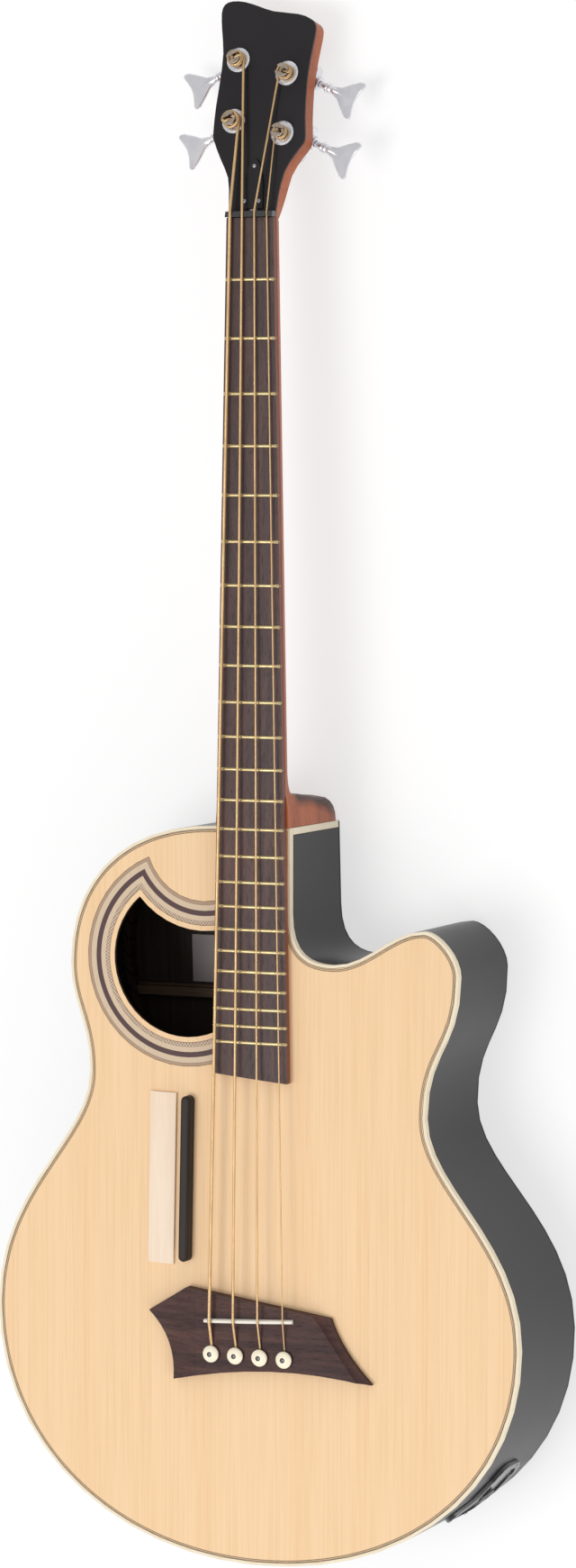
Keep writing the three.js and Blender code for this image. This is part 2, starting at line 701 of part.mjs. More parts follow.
function buildBridge() {
  const shape = new THREE.Shape();
  shape.moveTo(...bridgePoint("bassTip"));
  shape.quadraticCurveTo(...bridgePoint("bassBow"), ...bridgePoint("bassTail"));
  shape.quadraticCurveTo(...bridgePoint("tailBow"), ...bridgePoint("trebleTip"));
  shape.quadraticCurveTo(...bridgePoint("trebleBow"), ...bridgePoint("trebleTop"));
  shape.lineTo(...bridgePoint("bassTop"));
  const block = prism(shape.getPoints(bowSteps), gap, bridgeHeight);
  const drop = bridgeHeight - wingTipHeight;
  const bassWidth = bridgePoint("bassScoop")[0] - bridgePoint("bassTip")[0];
  const bassScoop = scoop(bridgePoint("bassScoop"), [-1, 0], bassWidth, drop);
  const [topX, topY] = bridgePoint("trebleScoopTop");
  const [tipX, tipY] = bridgePoint("trebleScoopTip");
  const line = Math.hypot(tipX - topX, tipY - topY);
  const outward = [-(tipY - topY) / line, (tipX - topX) / line];
  const trebleScoop = scoop([topX, topY], outward, drop * 2, drop);
  const slotFloor = bridgeHeight - saddleSlotDepth;
  const saddleTurn = new THREE.Matrix4().makeRotationZ(saddleSkew);
  saddleTurn.setPosition(saddleCentreX, saddleCentreY, 0);
  const slotX = saddleLength / 2 + gap;
  const slotY = saddleThickness / 2 + gap;
  const slotLevels = [slotFloor, bridgeHeight + overrun];
  const slot = moved(box([-slotX, slotX], [-slotY, slotY], slotLevels), saddleTurn);
  const carved = block.subtract(bassScoop).subtract(trebleScoop).subtract(slot);
  addPiece("bridge", cutForStrings(carved), finishes.rosewood);

  const pickupX = saddleLength / 2 - gap;
  const pickupY = saddleThickness / 2 - gap;
  const pickupLevels = [slotFloor + gap, slotFloor + gap + pickupThickness];
  const pickup = box([-pickupX, pickupX], [-pickupY, pickupY], pickupLevels);
  addPiece("saddle_pickup", moved(pickup, saddleTurn), finishes.steel);
  const saddleFloor = slotFloor + 2 * gap + pickupThickness;
  const saddleSections = 10;
  const rings = Array.from({ length: saddleSections + 1 }, (_, i) => {
    const x = saddleLength * (i / saddleSections - 0.5);
    const top = saddleCrown - crownDrop(x);
    const half = saddleThickness / 2;
    const foot = [[-half, saddleFloor], [half, saddleFloor]];
    const crown = saddleCrownShares.map(([y, z]) => [half * y, top - half * z]);
    return [...foot, ...crown].map(([y, z]) => new THREE.Vector3(x, y, z));
  });
  addPiece("saddle", moved(loft(rings), saddleTurn), finishes.bone);

  // Pins: a tapered shank with a domed head that stands on a short collar
  const headRise = bridgeHeight + pinCollar;
  const profile = [
    [0, headRise - pinLength - pinTipRadius],
    [pinTipRadius * 0.7, headRise - pinLength - pinTipRadius * 0.6],
    [pinTipRadius, headRise - pinLength],
    [pinShankRadius, headRise],
    [pinHeadRadius * 0.9, headRise],
    [pinHeadRadius, headRise + pinHeadHeight * 0.3],
    [pinHeadRadius * 0.85, headRise + pinHeadHeight * 0.7],
    [pinHeadRadius * 0.45, headRise + pinHeadHeight * 0.96],
    [0, headRise + pinHeadHeight],
  ];
  for (const string of strings) {
    const pin = moved(turned(profile, pinSides), at(string.saddle.x, pinRowY, 0));
    addPiece("bridge_pin_" + string.name, pin, finishes.pinIvory);
  }
}
const saddleSlotDepth = 5.8;
const saddleCrownShares = [[1, 1], [0.6, 0.15], [0, 0], [-0.6, 0.15], [-1, 1]];
const pickupThickness = 1.2;
const pinCollar = 1.2;
const pinSides = 14;
const pinHeadHeight = 4.2;

// Thumb rest: a pale pad and a dark rail that lie along the lowest string
const thumbRestLow = 34;
const padLength = 138;
const padWidth = 23.5;
const padThickness = 2.2;
const padInnerX = -69;
const railLength = 133;
const railWidth = 8.5;
const railHeight = 9.5;
const railX = -56.5;
const railStart = 37.5;
const railEdge = 2;

function buildThumbRest() {
  const lean = Math.atan((saddleSpread - nutSpread) / 2 / scaleLength);
  const turn = new THREE.Matrix4().makeRotationZ(-lean);
  const padShape = [
    [-padWidth, gap],
    [0, gap],
    [0, padThickness],
    [-padWidth + padThickness * 2, padThickness],
    [-padWidth, gap + padThickness / 4],
  ];
  const ring = (y) => padShape.map(([x, z]) => new THREE.Vector3(x, y, z));
  const pad = loft([ring(0), ring(padLength)]);
  const padPlace = turn.clone().setPosition(padInnerX, thumbRestLow, 0);
  addPiece("thumb_rest_pad", moved(pad, padPlace), finishes.maple);
  const railCorner = railWidth / 2 - railEdge;
  const stadium = roundedRectangle(railCorner, railLength / 2 - railEdge, railCorner);
  const rail = new THREE.ExtrudeGeometry(new THREE.Shape(stadium), {
    depth: railHeight - gap - railEdge,
    bevelThickness: railEdge,
    bevelSize: railEdge,
    bevelSegments: 2,
  });
  const railPlace = turn.clone().setPosition(railX, railStart + railLength / 2, gap);
  const railRoom = box([-far, 0], [-far, far], [gap, bridgeHeight * 2]);
  const railBody = solidOf(rail.applyMatrix4(railPlace)).intersect(railRoom);
  addPiece("thumb_rest_rail", railBody, finishes.ebony);
}

// Fingerboard: a tapered board with a cambered top, a skewed end and crowned frets
const camberSteps = 6;
function boardRing(y) {
  const half = boardHalfWidth(y);
  const points = [new THREE.Vector3(-half, y, boardBottom), new THREE.Vector3(half, y, boardBottom)];
  for (let i = 0; i <= camberSteps; i++) {
    const x = half * (1 - (2 * i) / camberSteps);
    points.push(new THREE.Vector3(x, y, boardTop - crownDrop(x)));
  }
  return points.reverse();
}

function fretBody(y) {
  const half = boardHalfWidth(y) - fretSetback;
  const steps = 4;
  const section = [
    [-fretWidth / 2, 0],
    [-fretWidth / 5, fretHeight],
    [fretWidth / 5, fretHeight],
    [fretWidth / 2, 0],
    [0, -fretTang],
  ];
  const rings = Array.from({ length: steps + 1 }, (_, i) => {
    const x = half * ((2 * i) / steps - 1);
    return section.map(([v, z]) => new THREE.Vector3(x, y + v, boardTop - crownDrop(x) + z - fretSeat));
  });
  return loft(rings);
}
const fretSeat = 0.05;

function buildFingerboard() {
  const lowest = Math.min(boardEndBass, boardEndTreble) - overrun;
  let board = loft([boardRing(lowest), boardRing(scaleLength - gap)]);
  const endHalf = boardHalfWidth(boardEndTreble);
  const endMiddle = (boardEndBass + boardEndTreble) / 2;
  const endTurn = Math.atan2(boardEndTreble - boardEndBass, 2 * endHalf);
  const reach = lastFretWidth;
  const beyond = box([-reach, reach], [-reach, 0], [0, boardTop * 2]);
  const endPlace = new THREE.Matrix4().makeRotationZ(endTurn).setPosition(0, endMiddle, 0);
  board = board.subtract(moved(beyond, endPlace));
  for (let n = 1; n <= fretCount; n++) board = board.add(fretBody(fretY(n)));
  addPiece("fingerboard", board, finishes.rosewood);
  return moved(beyond, endPlace);
}

// Neck: rounded sections from the heel to the nut, with the headstock sawn from the same wood
const neckCurveSteps = 10;
const neckWallLevels = 4;
function neckRing(y, topHalf, lowHalf, depth, wall, fullness) {
  const side = [];
  for (let i = 0; i < neckWallLevels; i++) {
    const share = i / neckWallLevels;
    side.push([topHalf + (lowHalf - topHalf) * share, neckTop - wall * share]);
  }
  const points = side.map(([x, z]) => new THREE.Vector3(x, y, z));
  for (let i = 0; i <= neckCurveSteps; i++) {
    const angle = (Math.PI * i) / neckCurveSteps;
    const x = Math.sign(Math.cos(angle)) * Math.abs(Math.cos(angle)) ** (2 / fullness);
    const z = Math.sin(angle) ** (2 / fullness);
    points.push(new THREE.Vector3(lowHalf * x, y, neckTop - wall - (depth - wall) * z));
  }
  side.reverse().forEach(([x, z]) => points.push(new THREE.Vector3(-x, y, z)));
  return points;
}
const neckSideWall = 2;
const neckFullness = 2.1;
const heelFullness = 5;
const heelBend = 2.2;
const heelRound = 14;
const heelFrontShare = 0.8;
const voluteLength = 12;
const heelStations = 9;
const filletStations = 5;

// The heel stands steeply on its front, round at the back, and a hollow fillet joins the shaft.
function heelRings() {
  const heelDepth = neckTop + depthAtJoint - heelBackSetback;
  const faceHalf = cutawayWall.x;
  const rings = [];
  const station = (reach, depth) => {
    const y = neckJointY + gap + reach;
    const share = Math.min(reach / heelLength, 1);
    const swell = ((depth - neckDepthAtHeel) / (heelDepth - neckDepthAtHeel)) ** 0.6;
    const topHalf = boardHalfWidth(y) + (faceHalf - boardHalfWidth(neckJointY)) * (1 - share ** 2);
    const heelHalf = faceHalf * (1 - (1 - heelFrontShare) * share ** 3);
    const lowHalf = topHalf + (heelHalf - topHalf) * swell;
    const wall = neckSideWall + (depth - heelRound - neckSideWall) * swell;
    const fullness = neckFullness + (heelFullness - neckFullness) * swell;
    rings.push(neckRing(y, topHalf, lowHalf, depth, wall, fullness));
  };
  const frontDepth = neckDepthAtHeel + heelFilletDepth;
  const frontAngle = Math.acos((frontDepth / heelDepth) ** (heelBend / 2));
  for (let i = 0; i <= heelStations; i++) {
    const angle = (frontAngle * i) / heelStations;
    const reach = heelLength * Math.sin(angle) ** (2 / heelBend);
    station(reach, heelDepth * Math.cos(angle) ** (2 / heelBend));
  }
  const front = heelLength * Math.sin(frontAngle) ** (2 / heelBend);
  for (let i = 1; i <= filletStations; i++) {
    const angle = (Math.PI / 2) * (i / filletStations);
    const reach = front + heelFilletLength * (1 - Math.cos(angle));
    station(reach, neckDepthAtHeel + heelFilletDepth * (1 - Math.sin(angle)));
  }
  return rings;
}

const headOutlineShares = [
  [0.53, 0.07], [0.625, 0.184], [0.825, 0.265], [0.985, 0.315], [1.01, 0.355],
  [0.975, 0.444], [0.958, 0.592], [1, 0.723], [1.065, 0.835], [1.045, 0.88],
  [0.925, 0.905], [0.675, 0.927], [0.14, 0.945], [-0.2, 0.972], [-0.5, 0.995],
  [-0.77, 1], [-0.93, 0.985], [-0.985, 0.945], [-0.95, 0.865], [-0.883, 0.752],
  [-0.905, 0.622], [-0.95, 0.504], [-0.965, 0.391], [-0.94, 0.34], [-0.775, 0.255],
  [-0.57, 0.16], [-0.515, 0.06],
];
const headSteps = 2;

function headOutline(start) {
  const inner = headOutlineShares.map(([x, s]) => new THREE.Vector2(x * headHalfWidth, s * headLength));
  const root = (x) => new THREE.Vector2(x, start);
  const points = [root(nutWidth / 2), ...inner, root(-nutWidth / 2)];
  return new THREE.SplineCurve(points).getPoints((points.length - 1) * headSteps);
}

// Truss rod in its channel, and the pocket for its adjusting nut
const rodWidth = 5.4;
const rodDepth = 9;
const rodInset = 16;
const rodPastNut = 5.5;
const adjusterRadius = 3.6;
const adjusterLength = 12;
const adjusterDrop = 6.8;
const adjusterSocket = 1.8;
const pocketLength = 24;

function buildNeck(boardEndCut) {
  const shaftStations = 4;
  const rings = heelRings();
  const shaftStart = rings[rings.length - 1][0].y;
  const shaftRing = (y, half, depth) => neckRing(y, half, half, depth, neckSideWall, neckFullness);
  for (let i = 1; i <= shaftStations; i++) {
    const share = i / shaftStations;
    const y = shaftStart + (nutBackY - shaftStart) * share;
    const depth = neckDepthAtHeel + (neckDepthAtNut - neckDepthAtHeel) * share;
    rings.push(shaftRing(y, boardHalfWidth(Math.min(y, scaleLength)), depth));
  }
  rings.push(shaftRing(nutBackY + voluteLength, nutWidth / 2, neckDepthAtNut));
  let neck = loft(rings);
  const woodTop = -faceThickness - gap;
  const head = prism(headOutline(-voluteLength / 2), woodTop - headThickness, woodTop);
  const aboveHead = box([-far, far], [gap, headLength * 2], [woodTop, headLength]);
  neck = neck.add(moved(head, headFrame)).subtract(moved(aboveHead, headFrame));
  neck = neck.subtract(box([-far, far], [neckJointY, nutBackY + 2 * gap], [neckTop, headLength]));
  const tongueHalf = boardHalfWidth(neckJointY) - gap;
  const tongueEndHalf = boardHalfWidth(boardEndBass) - gap;
  const tongueTop = [
    new THREE.Vector2(-tongueEndHalf, boardEndTreble - overrun),
    new THREE.Vector2(tongueEndHalf, boardEndTreble - overrun),
    new THREE.Vector2(tongueHalf, neckJointY + heelTrimWidth),
    new THREE.Vector2(-tongueHalf, neckJointY + heelTrimWidth),
  ];
  const tongueEnd = boardEndCut;
  neck = neck.add(prism(tongueTop, gap, neckTop).subtract(tongueEnd));

  const channelHalf = rodWidth / 2 + gap;
  const rodStart = neckJointY + rodInset;
  const channelY = [rodStart - gap, nutBackY + rodPastNut];
  const channel = box([-channelHalf, channelHalf], channelY, [neckTop - rodDepth - gap, overrun * 2]);
  const pocketHalf = adjusterRadius + 3 * gap;
  const adjusterZ = neckTop - adjusterDrop;
  const pocketFloor = adjusterZ - adjusterRadius - gap;
  const pocketY = [nutBackY + rodPastNut - gap, nutBackY + pocketLength];
  const pocket = box([-pocketHalf, pocketHalf], pocketY, [pocketFloor, headLength]);
  const bore = cylinder(sleeveRadius + gap, -headLength, headLength);
  const bores = tuners.map((tuner) => moved(bore, tuner.post));
  neck = neck.subtract(channel).subtract(pocket);
  for (const postBore of bores) neck = neck.subtract(postBore);
  addPiece("neck", neck, finishes.mahogany);

  const rodHalf = rodWidth / 2;
  const rodY = [rodStart, nutBackY + rodPastNut - gap];
  const rod = box([-rodHalf, rodHalf], rodY, [neckTop - rodDepth, neckTop - gap]);
  addPiece("truss_rod", rod, finishes.steel);
  const adjuster = cylinder(adjusterRadius, 0, adjusterLength, 6).subtract(
    cylinder(adjusterSocket, adjusterLength / 2, adjusterLength + overrun, 6),
  );
  const alongNeck = new THREE.Matrix4().makeRotationX(-Math.PI / 2);
  const adjusterPlace = alongNeck.setPosition(0, nutBackY + rodPastNut, adjusterZ);
  addPiece("truss_rod_nut", moved(adjuster, adjusterPlace), finishes.steel);

  let face = prism(headOutline(gap), -faceThickness, 0);
  const pocketHole = box([-pocketHalf, pocketHalf], [-overrun, pocketLength], [-headLength, headLength]);
  face = moved(face.subtract(pocketHole), headFrame);
  for (const postBore of bores) face = face.subtract(postBore);
  addPiece("headstock_face", face, finishes.blackFace);
  const coverShape = new THREE.Shape();
  const coverHalf = coverWidth / 2;
  const onCover = (x, y) => [coverHalf * x, coverStart + coverLength * y];
  coverShape.moveTo(...onCover(1, 0));
  coverShape.bezierCurveTo(...onCover(1, 0.6), ...onCover(0.5, 1), ...onCover(0, 1));
  coverShape.bezierCurveTo(...onCover(-0.5, 1), ...onCover(-1, 0.6), ...onCover(-1, 0));
  const cover = prism(coverShape.getPoints(7), gap, gap + coverThickness);
  addPiece("truss_rod_cover", moved(cover, headFrame), finishes.ebony);

  const nutSections = 8;
  const nutRings = Array.from({ length: nutSections + 1 }, (_, i) => {
    const x = nutWidth * (i / nutSections - 0.5);
    const top = fretPlane + nutRise - crownDrop(x);
    const foot = [[0, neckTop + gap], [nutThickness, neckTop + gap]];
    const crown = [[nutThickness, top - nutThickness / 3], [0, top]];
    return [...foot, ...crown].map(([y, z]) => new THREE.Vector3(x, scaleLength + y, z));
  });
  let nut = loft(nutRings);
  for (const string of strings) {
    const before = string.nut.clone().add(new THREE.Vector3(0, -overrun, 0));
    const after = string.nut.clone().add(new THREE.Vector3(0, nutThickness + overrun, 0));
    const open = string.nut.clone().add(new THREE.Vector3(0, 0, nutRise * 2));
    const wide = string.radius + gap;
    const mouth = box([open.x - wide, open.x + wide], [before.y, after.y], [string.nut.z, open.z]);
    nut = nut.subtract(tube([before, after], string.radius + 1.5 * gap, grooveSides)).subtract(mouth);
  }
  addPiece("nut", nut, finishes.ebony);
}
const coverWidth = 19;
const coverStart = 1.5;
const coverLength = 40;
const coverThickness = 1.6;

// Tuners: each has a post through the headstock, a flanged bushing, a closed worm housing
// and a key whose shaft leans towards the body. U runs out along the key shaft.
const sleeveRadius = 6.7;
const bushingRadius = 9.8;
const bushingHeight = 2;
const sleeveLength = 9;
const wormOffset = 5;
const wormDrop = 6.6;
const housingThickness = 12;
const housingHalfLength = 14;
const housingHalfWidth = 15.5;
const housingCorner = 5;
const housingEdge = 1.5;
const bossRadius = 5.6;
const bossEnd = 18;
const shaftRadius = 2.5;
const shaftStart = 7;
const collarStart = 24;
const collarRadius = 4.2;
const wingStart = 31;
const wingLength = 24;
const wingHalfSpan = 16;
const wingThickness = 2.6;
const wingEdge = 0.8;
const postCapRadius = 5.8;
const postCapHeight = 1.8;
const bushingSides = 18;
const postSides = 14;
const postWellDepth = 6;
const postWellSides = 12;
const shaftSides = 10;

function tunerAt(name, side, along) {
  const u = new THREE.Vector3(side * Math.cos(keyAngle), -Math.sin(keyAngle), 0);
  const v = new THREE.Vector3(side * Math.sin(keyAngle), Math.cos(keyAngle), 0);
  const local = new THREE.Matrix4().makeBasis(u, v, new THREE.Vector3(0, 0, 1));
  local.setPosition(side * postX, along, 0);
  return { name, side, along, post: headFrame.clone().multiply(local) };
}
const tuners = [
  tunerAt("e", -1, bassLowPost),
  tunerAt("a", -1, bassHighPost),
  tunerAt("d", 1, trebleHighPost),
  tunerAt("g", 1, trebleLowPost),
];

// A lathe profile about the key shaft, which runs along U
function turnedAlongU(profile, sides) {
  const alongU = new THREE.Matrix4().makeRotationY(Math.PI / 2).setPosition(0, wormOffset, 0);
  return moved(turned(profile, sides), alongU);
}

function wingShape() {
  const tip = wingStart + wingLength;
  const shape = new THREE.Shape();
  const place = (u, v) => [wingStart + wingLength * u, wormOffset + wingHalfSpan * v];
  shape.moveTo(...place(-0.15, -0.12));
  shape.bezierCurveTo(...place(0.35, -0.14), ...place(0.5, -0.75), ...place(0.78, -0.93));
  shape.bezierCurveTo(...place(0.9, -1), ...place(1.02, -0.98), ...place(1, -0.82));
  shape.bezierCurveTo(...place(0.92, -0.45), ...place(0.88, -0.2), ...place(0.88, 0));
  shape.bezierCurveTo(...place(0.88, 0.2), ...place(0.92, 0.45), ...place(1, 0.82));
  shape.bezierCurveTo(...place(1.02, 0.98), ...place(0.9, 1), ...place(0.78, 0.93));
  shape.bezierCurveTo(...place(0.5, 0.75), ...place(0.35, 0.14), ...place(-0.15, 0.12));
  return new THREE.Shape(shape.getPoints(3));
}

function buildTuner(tuner) {
  const rear = -faceThickness - gap - headThickness - gap;
  const floor = rear - housingThickness;
  const bushing = turned(
    [
      [postShaftRadius + gap, -sleeveLength],
      [sleeveRadius, -sleeveLength],
      [sleeveRadius, gap],
      [bushingRadius, gap],
      [bushingRadius, bushingHeight * 0.6],
      [bushingRadius * 0.86, bushingHeight + gap],
      [postShaftRadius + gap, bushingHeight + gap],
      [postShaftRadius + gap, -sleeveLength],
    ],
    bushingSides,
  );
  addPiece("tuner_bushing_" + tuner.name, moved(bushing, tuner.post), finishes.chrome);

  const postBase = rear - housingThickness * 0.75;
  const waistLow = bushingHeight;
  const capFoot = postHeight - postCapHeight;
  const post = turned(
    [
      [0, postBase],
      [postShaftRadius, postBase],
      [postShaftRadius, waistLow],
      [postWaistRadius, waistLow + gap * 2],
      [postWaistRadius, capFoot],
      [postCapRadius, capFoot + postCapHeight / 3],
      [postCapRadius, postHeight - postCapHeight / 4],
      [postCapRadius - postCapHeight / 4, postHeight],
      [0, postHeight],
    ],
    postSides,
  );
  const string = strings[stringNames.indexOf(tuner.name)];
  const winding = windingOf(string, tuner);
  const slotHalf = stringRadii.e + 2 * gap;
  const slotLevels = [winding.slotFloor, postHeight + overrun];
  const slotTurn = new THREE.Matrix4().makeRotationZ(winding.slotAngle);
  const axis = at(tuner.side * postX, tuner.along, 0);
  const toSlot = headFrame.clone().multiply(axis).multiply(slotTurn);
  const slot = box([-bushingRadius, bushingRadius], [-slotHalf, slotHalf], slotLevels);
  const wellLevels = [winding.slotFloor - postWellDepth, postHeight + overrun];
  const well = cylinder(slotHalf, ...wellLevels, postWellSides);
  const slotted = moved(post, tuner.post).subtract(moved(slot.add(well), toSlot));
  addPiece("tuner_post_" + tuner.name, slotted, finishes.chrome);

  const plateX = housingHalfLength - housingEdge;
  const plateY = housingHalfWidth - housingEdge;
  const plate = roundedRectangle(plateX, plateY, housingCorner - housingEdge);
  const caseBody = new THREE.ExtrudeGeometry(new THREE.Shape(plate), {
    depth: housingThickness - housingEdge,
    bevelThickness: housingEdge,
    bevelSize: housingEdge,
    bevelSegments: 1,
  });
  const casing = solidOf(caseBody.translate(0, wormOffset / 3, floor + housingEdge)).intersect(
    box([-far, far], [-far, far], [floor, rear]),
  );
  const boss = turnedAlongU([[0, 0], [bossRadius, 0], [bossRadius, bossEnd], [0, bossEnd]], postSides);
  const shaftLevel = at(0, 0, rear - wormDrop);
  const shaftBore = turnedAlongU(
    [
      [0, shaftStart - gap],
      [shaftRadius + gap, shaftStart - gap],
      [shaftRadius + gap, bossEnd + overrun],
      [0, bossEnd + overrun],
    ],
    shaftSides,
  );
  const postBore = cylinder(postShaftRadius + gap, postBase - gap, rear + overrun);
  const housing = casing
    .add(moved(boss, shaftLevel))
    .subtract(moved(shaftBore, shaftLevel))
    .subtract(postBore);
  addPiece("tuner_housing_" + tuner.name, moved(housing, tuner.post), finishes.chrome);

  const ridge = collarRadius - shaftRadius;
  const shaft = turnedAlongU(
    [
      [0, shaftStart],
      [shaftRadius, shaftStart],
      [shaftRadius, collarStart],
      [collarRadius, collarStart + ridge * 0.4],
      [collarRadius, collarStart + ridge],
      [shaftRadius * 1.15, collarStart + ridge * 1.4],
      [collarRadius * 0.95, collarStart + ridge * 2],
      [collarRadius * 0.95, collarStart + ridge * 2.6],
      [shaftRadius, collarStart + ridge * 3.2],
      [shaftRadius * 1.1, wingStart],
      [shaftRadius * 0.7, wingStart + wingLength * 0.35],
      [0, wingStart + wingLength * 0.4],
    ],
    shaftSides,
  );
  const blade = new THREE.ExtrudeGeometry(wingShape(), {
    depth: wingThickness - 2 * wingEdge,
    bevelThickness: wingEdge,
    bevelSize: wingEdge,
    bevelOffset: -wingEdge,
    bevelSegments: 1,
  });
  const key = shaft.add(solidOf(blade.translate(0, 0, wingEdge - wingThickness / 2)));
  addPiece("tuner_key_" + tuner.name, moved(moved(key, shaftLevel), tuner.post), finishes.chrome);
}

// Strings: one unbroken tube each, from the ball end to the last turn on the post
const stringSides = 6;
const loopSteps = 24;
const turnCounts = [1.5, 2, 2.5, 3];
const windingSpace = 0.4;
const endBend = 1.3;

// The winding starts just over the bushing, climbs and ends at the mouth of the slot. The few
// millimetres that go on into the post turn with it, so they aren't part of this solid.
function windingOf(string, tuner) {
  const toHead = headFrame.clone().invert();
  const leave = string.nut.clone().setY(nutBackY + gap).applyMatrix4(toHead);
  const axisPoint = new THREE.Vector2(tuner.side * postX, tuner.along);
  const coilRadius = postWaistRadius + gap + string.radius;
  const from = new THREE.Vector2(leave.x, leave.y).sub(axisPoint);
  const away = Math.acos(coilRadius / from.length());
  const turnWay = -tuner.side;
  const startAngle = Math.atan2(from.y, from.x) + turnWay * away;
  const pitch = 2 * string.radius + windingSpace;
  const startHeight = bushingHeight + 2 * gap + string.radius;
  const turns = turnCounts[stringNames.indexOf(string.name)];
  const steps = Math.round(turns * loopSteps);
  const loops = [];
  for (let i = 0; i <= steps; i++) {
    const angle = startAngle + turnWay * (i / loopSteps) * 2 * Math.PI;
    const x = axisPoint.x + coilRadius * Math.cos(angle);
    const y = axisPoint.y + coilRadius * Math.sin(angle);
    loops.push(new THREE.Vector3(x, y, startHeight + (pitch * i) / loopSteps));
  }
  let least = Infinity;
  loops.forEach((p, i) => {
    for (let k = i + loopSteps / 2; k < loops.length; k++) {
      least = Math.min(least, p.distanceTo(loops[k]) - 2 * string.radius);
    }
  });
  console.log("string " + string.name + ": least gap between turns " + least.toFixed(2) + " mm");

  const bend = string.radius * endBend;
  const aside = Math.asin(bend / (coilRadius - bend));
  const slotAngle = startAngle + turnWay * ((steps / loopSteps) * 2 * Math.PI + aside);
  const slotFloor = loops[steps].z - string.radius - gap;
  return { route: loops.map((p) => p.applyMatrix4(headFrame)), slotAngle, slotFloor };
}

function buildString(string, tuner) {
  const overNut = string.nut.clone().setY(nutBackY + gap);
  const route = [ballPoint(string), ...bridgeRoute(string), string.saddle, string.nut, overNut];
  const wire = tube([...route, ...windingOf(string, tuner).route], string.radius, stringSides);
  const lie = new THREE.Matrix4().makeRotationY(Math.PI / 2).setPosition(ballPoint(string));
  const ball = moved(cylinder(ballRadius, -ballLength / 2, ballLength / 2, 12), lie);
  addPiece("string_" + string.name, wire.add(ball), finishes.bronze);
}

// Strap button on the tail, over the joint of the two sides
const buttonRadius = 7;
const buttonHeight = 10;
function buildStrapButton() {
  const profile = [
    [0, gap],
    [buttonRadius * 0.8, gap],
    [buttonRadius * 0.45, buttonHeight * 0.35],
    [buttonRadius * 0.45, buttonHeight * 0.6],
    [buttonRadius, buttonHeight * 0.8],
    [buttonRadius * 0.9, buttonHeight],
    [0, buttonHeight],
  ];
  const outward = new THREE.Matrix4().makeRotationX(Math.PI / 2);
  outward.setPosition(0, tailY, -depthAtTail / 2);
  addPiece("strap_button", moved(turned(profile, bushingSides), outward), finishes.chrome);
}

buildBox();
buildBraces();
buildJack();
buildBridge();
buildThumbRest();
buildNeck(buildFingerboard());
tuners.forEach(buildTuner);
strings.forEach((string, i) => buildString(string, tuners[i]));
buildStrapButton();

export default guitar;
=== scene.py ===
import json
import math

import bmesh
import bpy
from mathutils import Matrix, Vector

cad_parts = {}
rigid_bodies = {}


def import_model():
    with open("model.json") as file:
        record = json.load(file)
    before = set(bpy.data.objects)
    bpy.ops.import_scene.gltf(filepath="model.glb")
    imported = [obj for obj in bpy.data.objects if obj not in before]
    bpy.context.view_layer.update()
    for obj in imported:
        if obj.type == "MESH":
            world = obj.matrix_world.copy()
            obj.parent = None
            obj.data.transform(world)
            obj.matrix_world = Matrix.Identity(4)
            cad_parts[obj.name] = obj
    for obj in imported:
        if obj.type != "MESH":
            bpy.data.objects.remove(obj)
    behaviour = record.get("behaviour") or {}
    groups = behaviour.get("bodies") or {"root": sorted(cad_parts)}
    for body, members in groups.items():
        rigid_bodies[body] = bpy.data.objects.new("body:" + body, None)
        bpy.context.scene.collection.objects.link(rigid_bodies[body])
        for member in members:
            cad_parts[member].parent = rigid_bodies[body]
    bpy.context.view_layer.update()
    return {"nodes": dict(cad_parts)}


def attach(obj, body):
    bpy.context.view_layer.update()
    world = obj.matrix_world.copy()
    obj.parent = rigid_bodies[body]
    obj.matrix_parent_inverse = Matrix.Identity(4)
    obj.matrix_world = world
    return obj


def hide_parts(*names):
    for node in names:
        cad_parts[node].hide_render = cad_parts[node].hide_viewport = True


for leftover in list(bpy.data.objects):
    bpy.data.objects.remove(leftover)
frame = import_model()

# The studio: a pale table lit a little from below, which keeps the shadows faint, two wide soft
# lights and a camera that stands to the guitar's treble side and looks down on it, as the
# photograph does. All sizes in this file are metres.
scene = bpy.context.scene
scene.view_settings.view_transform = "Standard"
scene.view_settings.look = "None"

camera_focal_px = 5300
picture_height_px = 1741
camera_right = Vector((0.9125, -0.023028, -0.408424))
camera_down = Vector((0.02864, -0.992374, 0.119929))
camera_place = Vector((1.5583, 0.8739, 3.4854))
camera = bpy.data.objects.new("camera", bpy.data.cameras.new("camera"))
camera.data.sensor_width = 36
camera.data.lens = camera_focal_px / picture_height_px * camera.data.sensor_width
camera.data.clip_start = 0.1
camera.data.clip_end = 50
camera_up = -camera_down.normalized()
camera_back = camera_right.cross(camera_up).normalized()
camera.matrix_world = Matrix.Translation(camera_place) @ Matrix(
    (camera_right, camera_back.cross(camera_right), camera_back)
).transposed().to_4x4()
scene.collection.objects.link(camera)
scene.camera = camera

world_strength = 0.66
world = bpy.data.worlds.new("studio")
world.use_nodes = True
background = world.node_tree.nodes["Background"]
background.inputs["Color"].default_value = (1, 1, 1, 1)
background.inputs["Strength"].default_value = world_strength
scene.world = world


def soft_light(name, place, aim, size, power):
    """A rectangle of light at a place, turned to what it aims at."""
    lamp = bpy.data.lights.new(name, "AREA")
    lamp.shape, lamp.size, lamp.size_y, lamp.energy = "RECTANGLE", size[0], size[1], power
    thing = bpy.data.objects.new(name, lamp)
    thing.location = place
    thing.rotation_euler = (Vector(aim) - Vector(place)).to_track_quat("-Z", "Y").to_euler()
    scene.collection.objects.link(thing)


soft_light("key_light", (-1.6, -0.7, 5.7), (0, 0.35, 0.1), (2.6, 2.6), 141)
soft_light("side_light", (2.0, -1.7, 1.1), (0.1, 0.1, 0.06), (1.4, 1.4), 18)

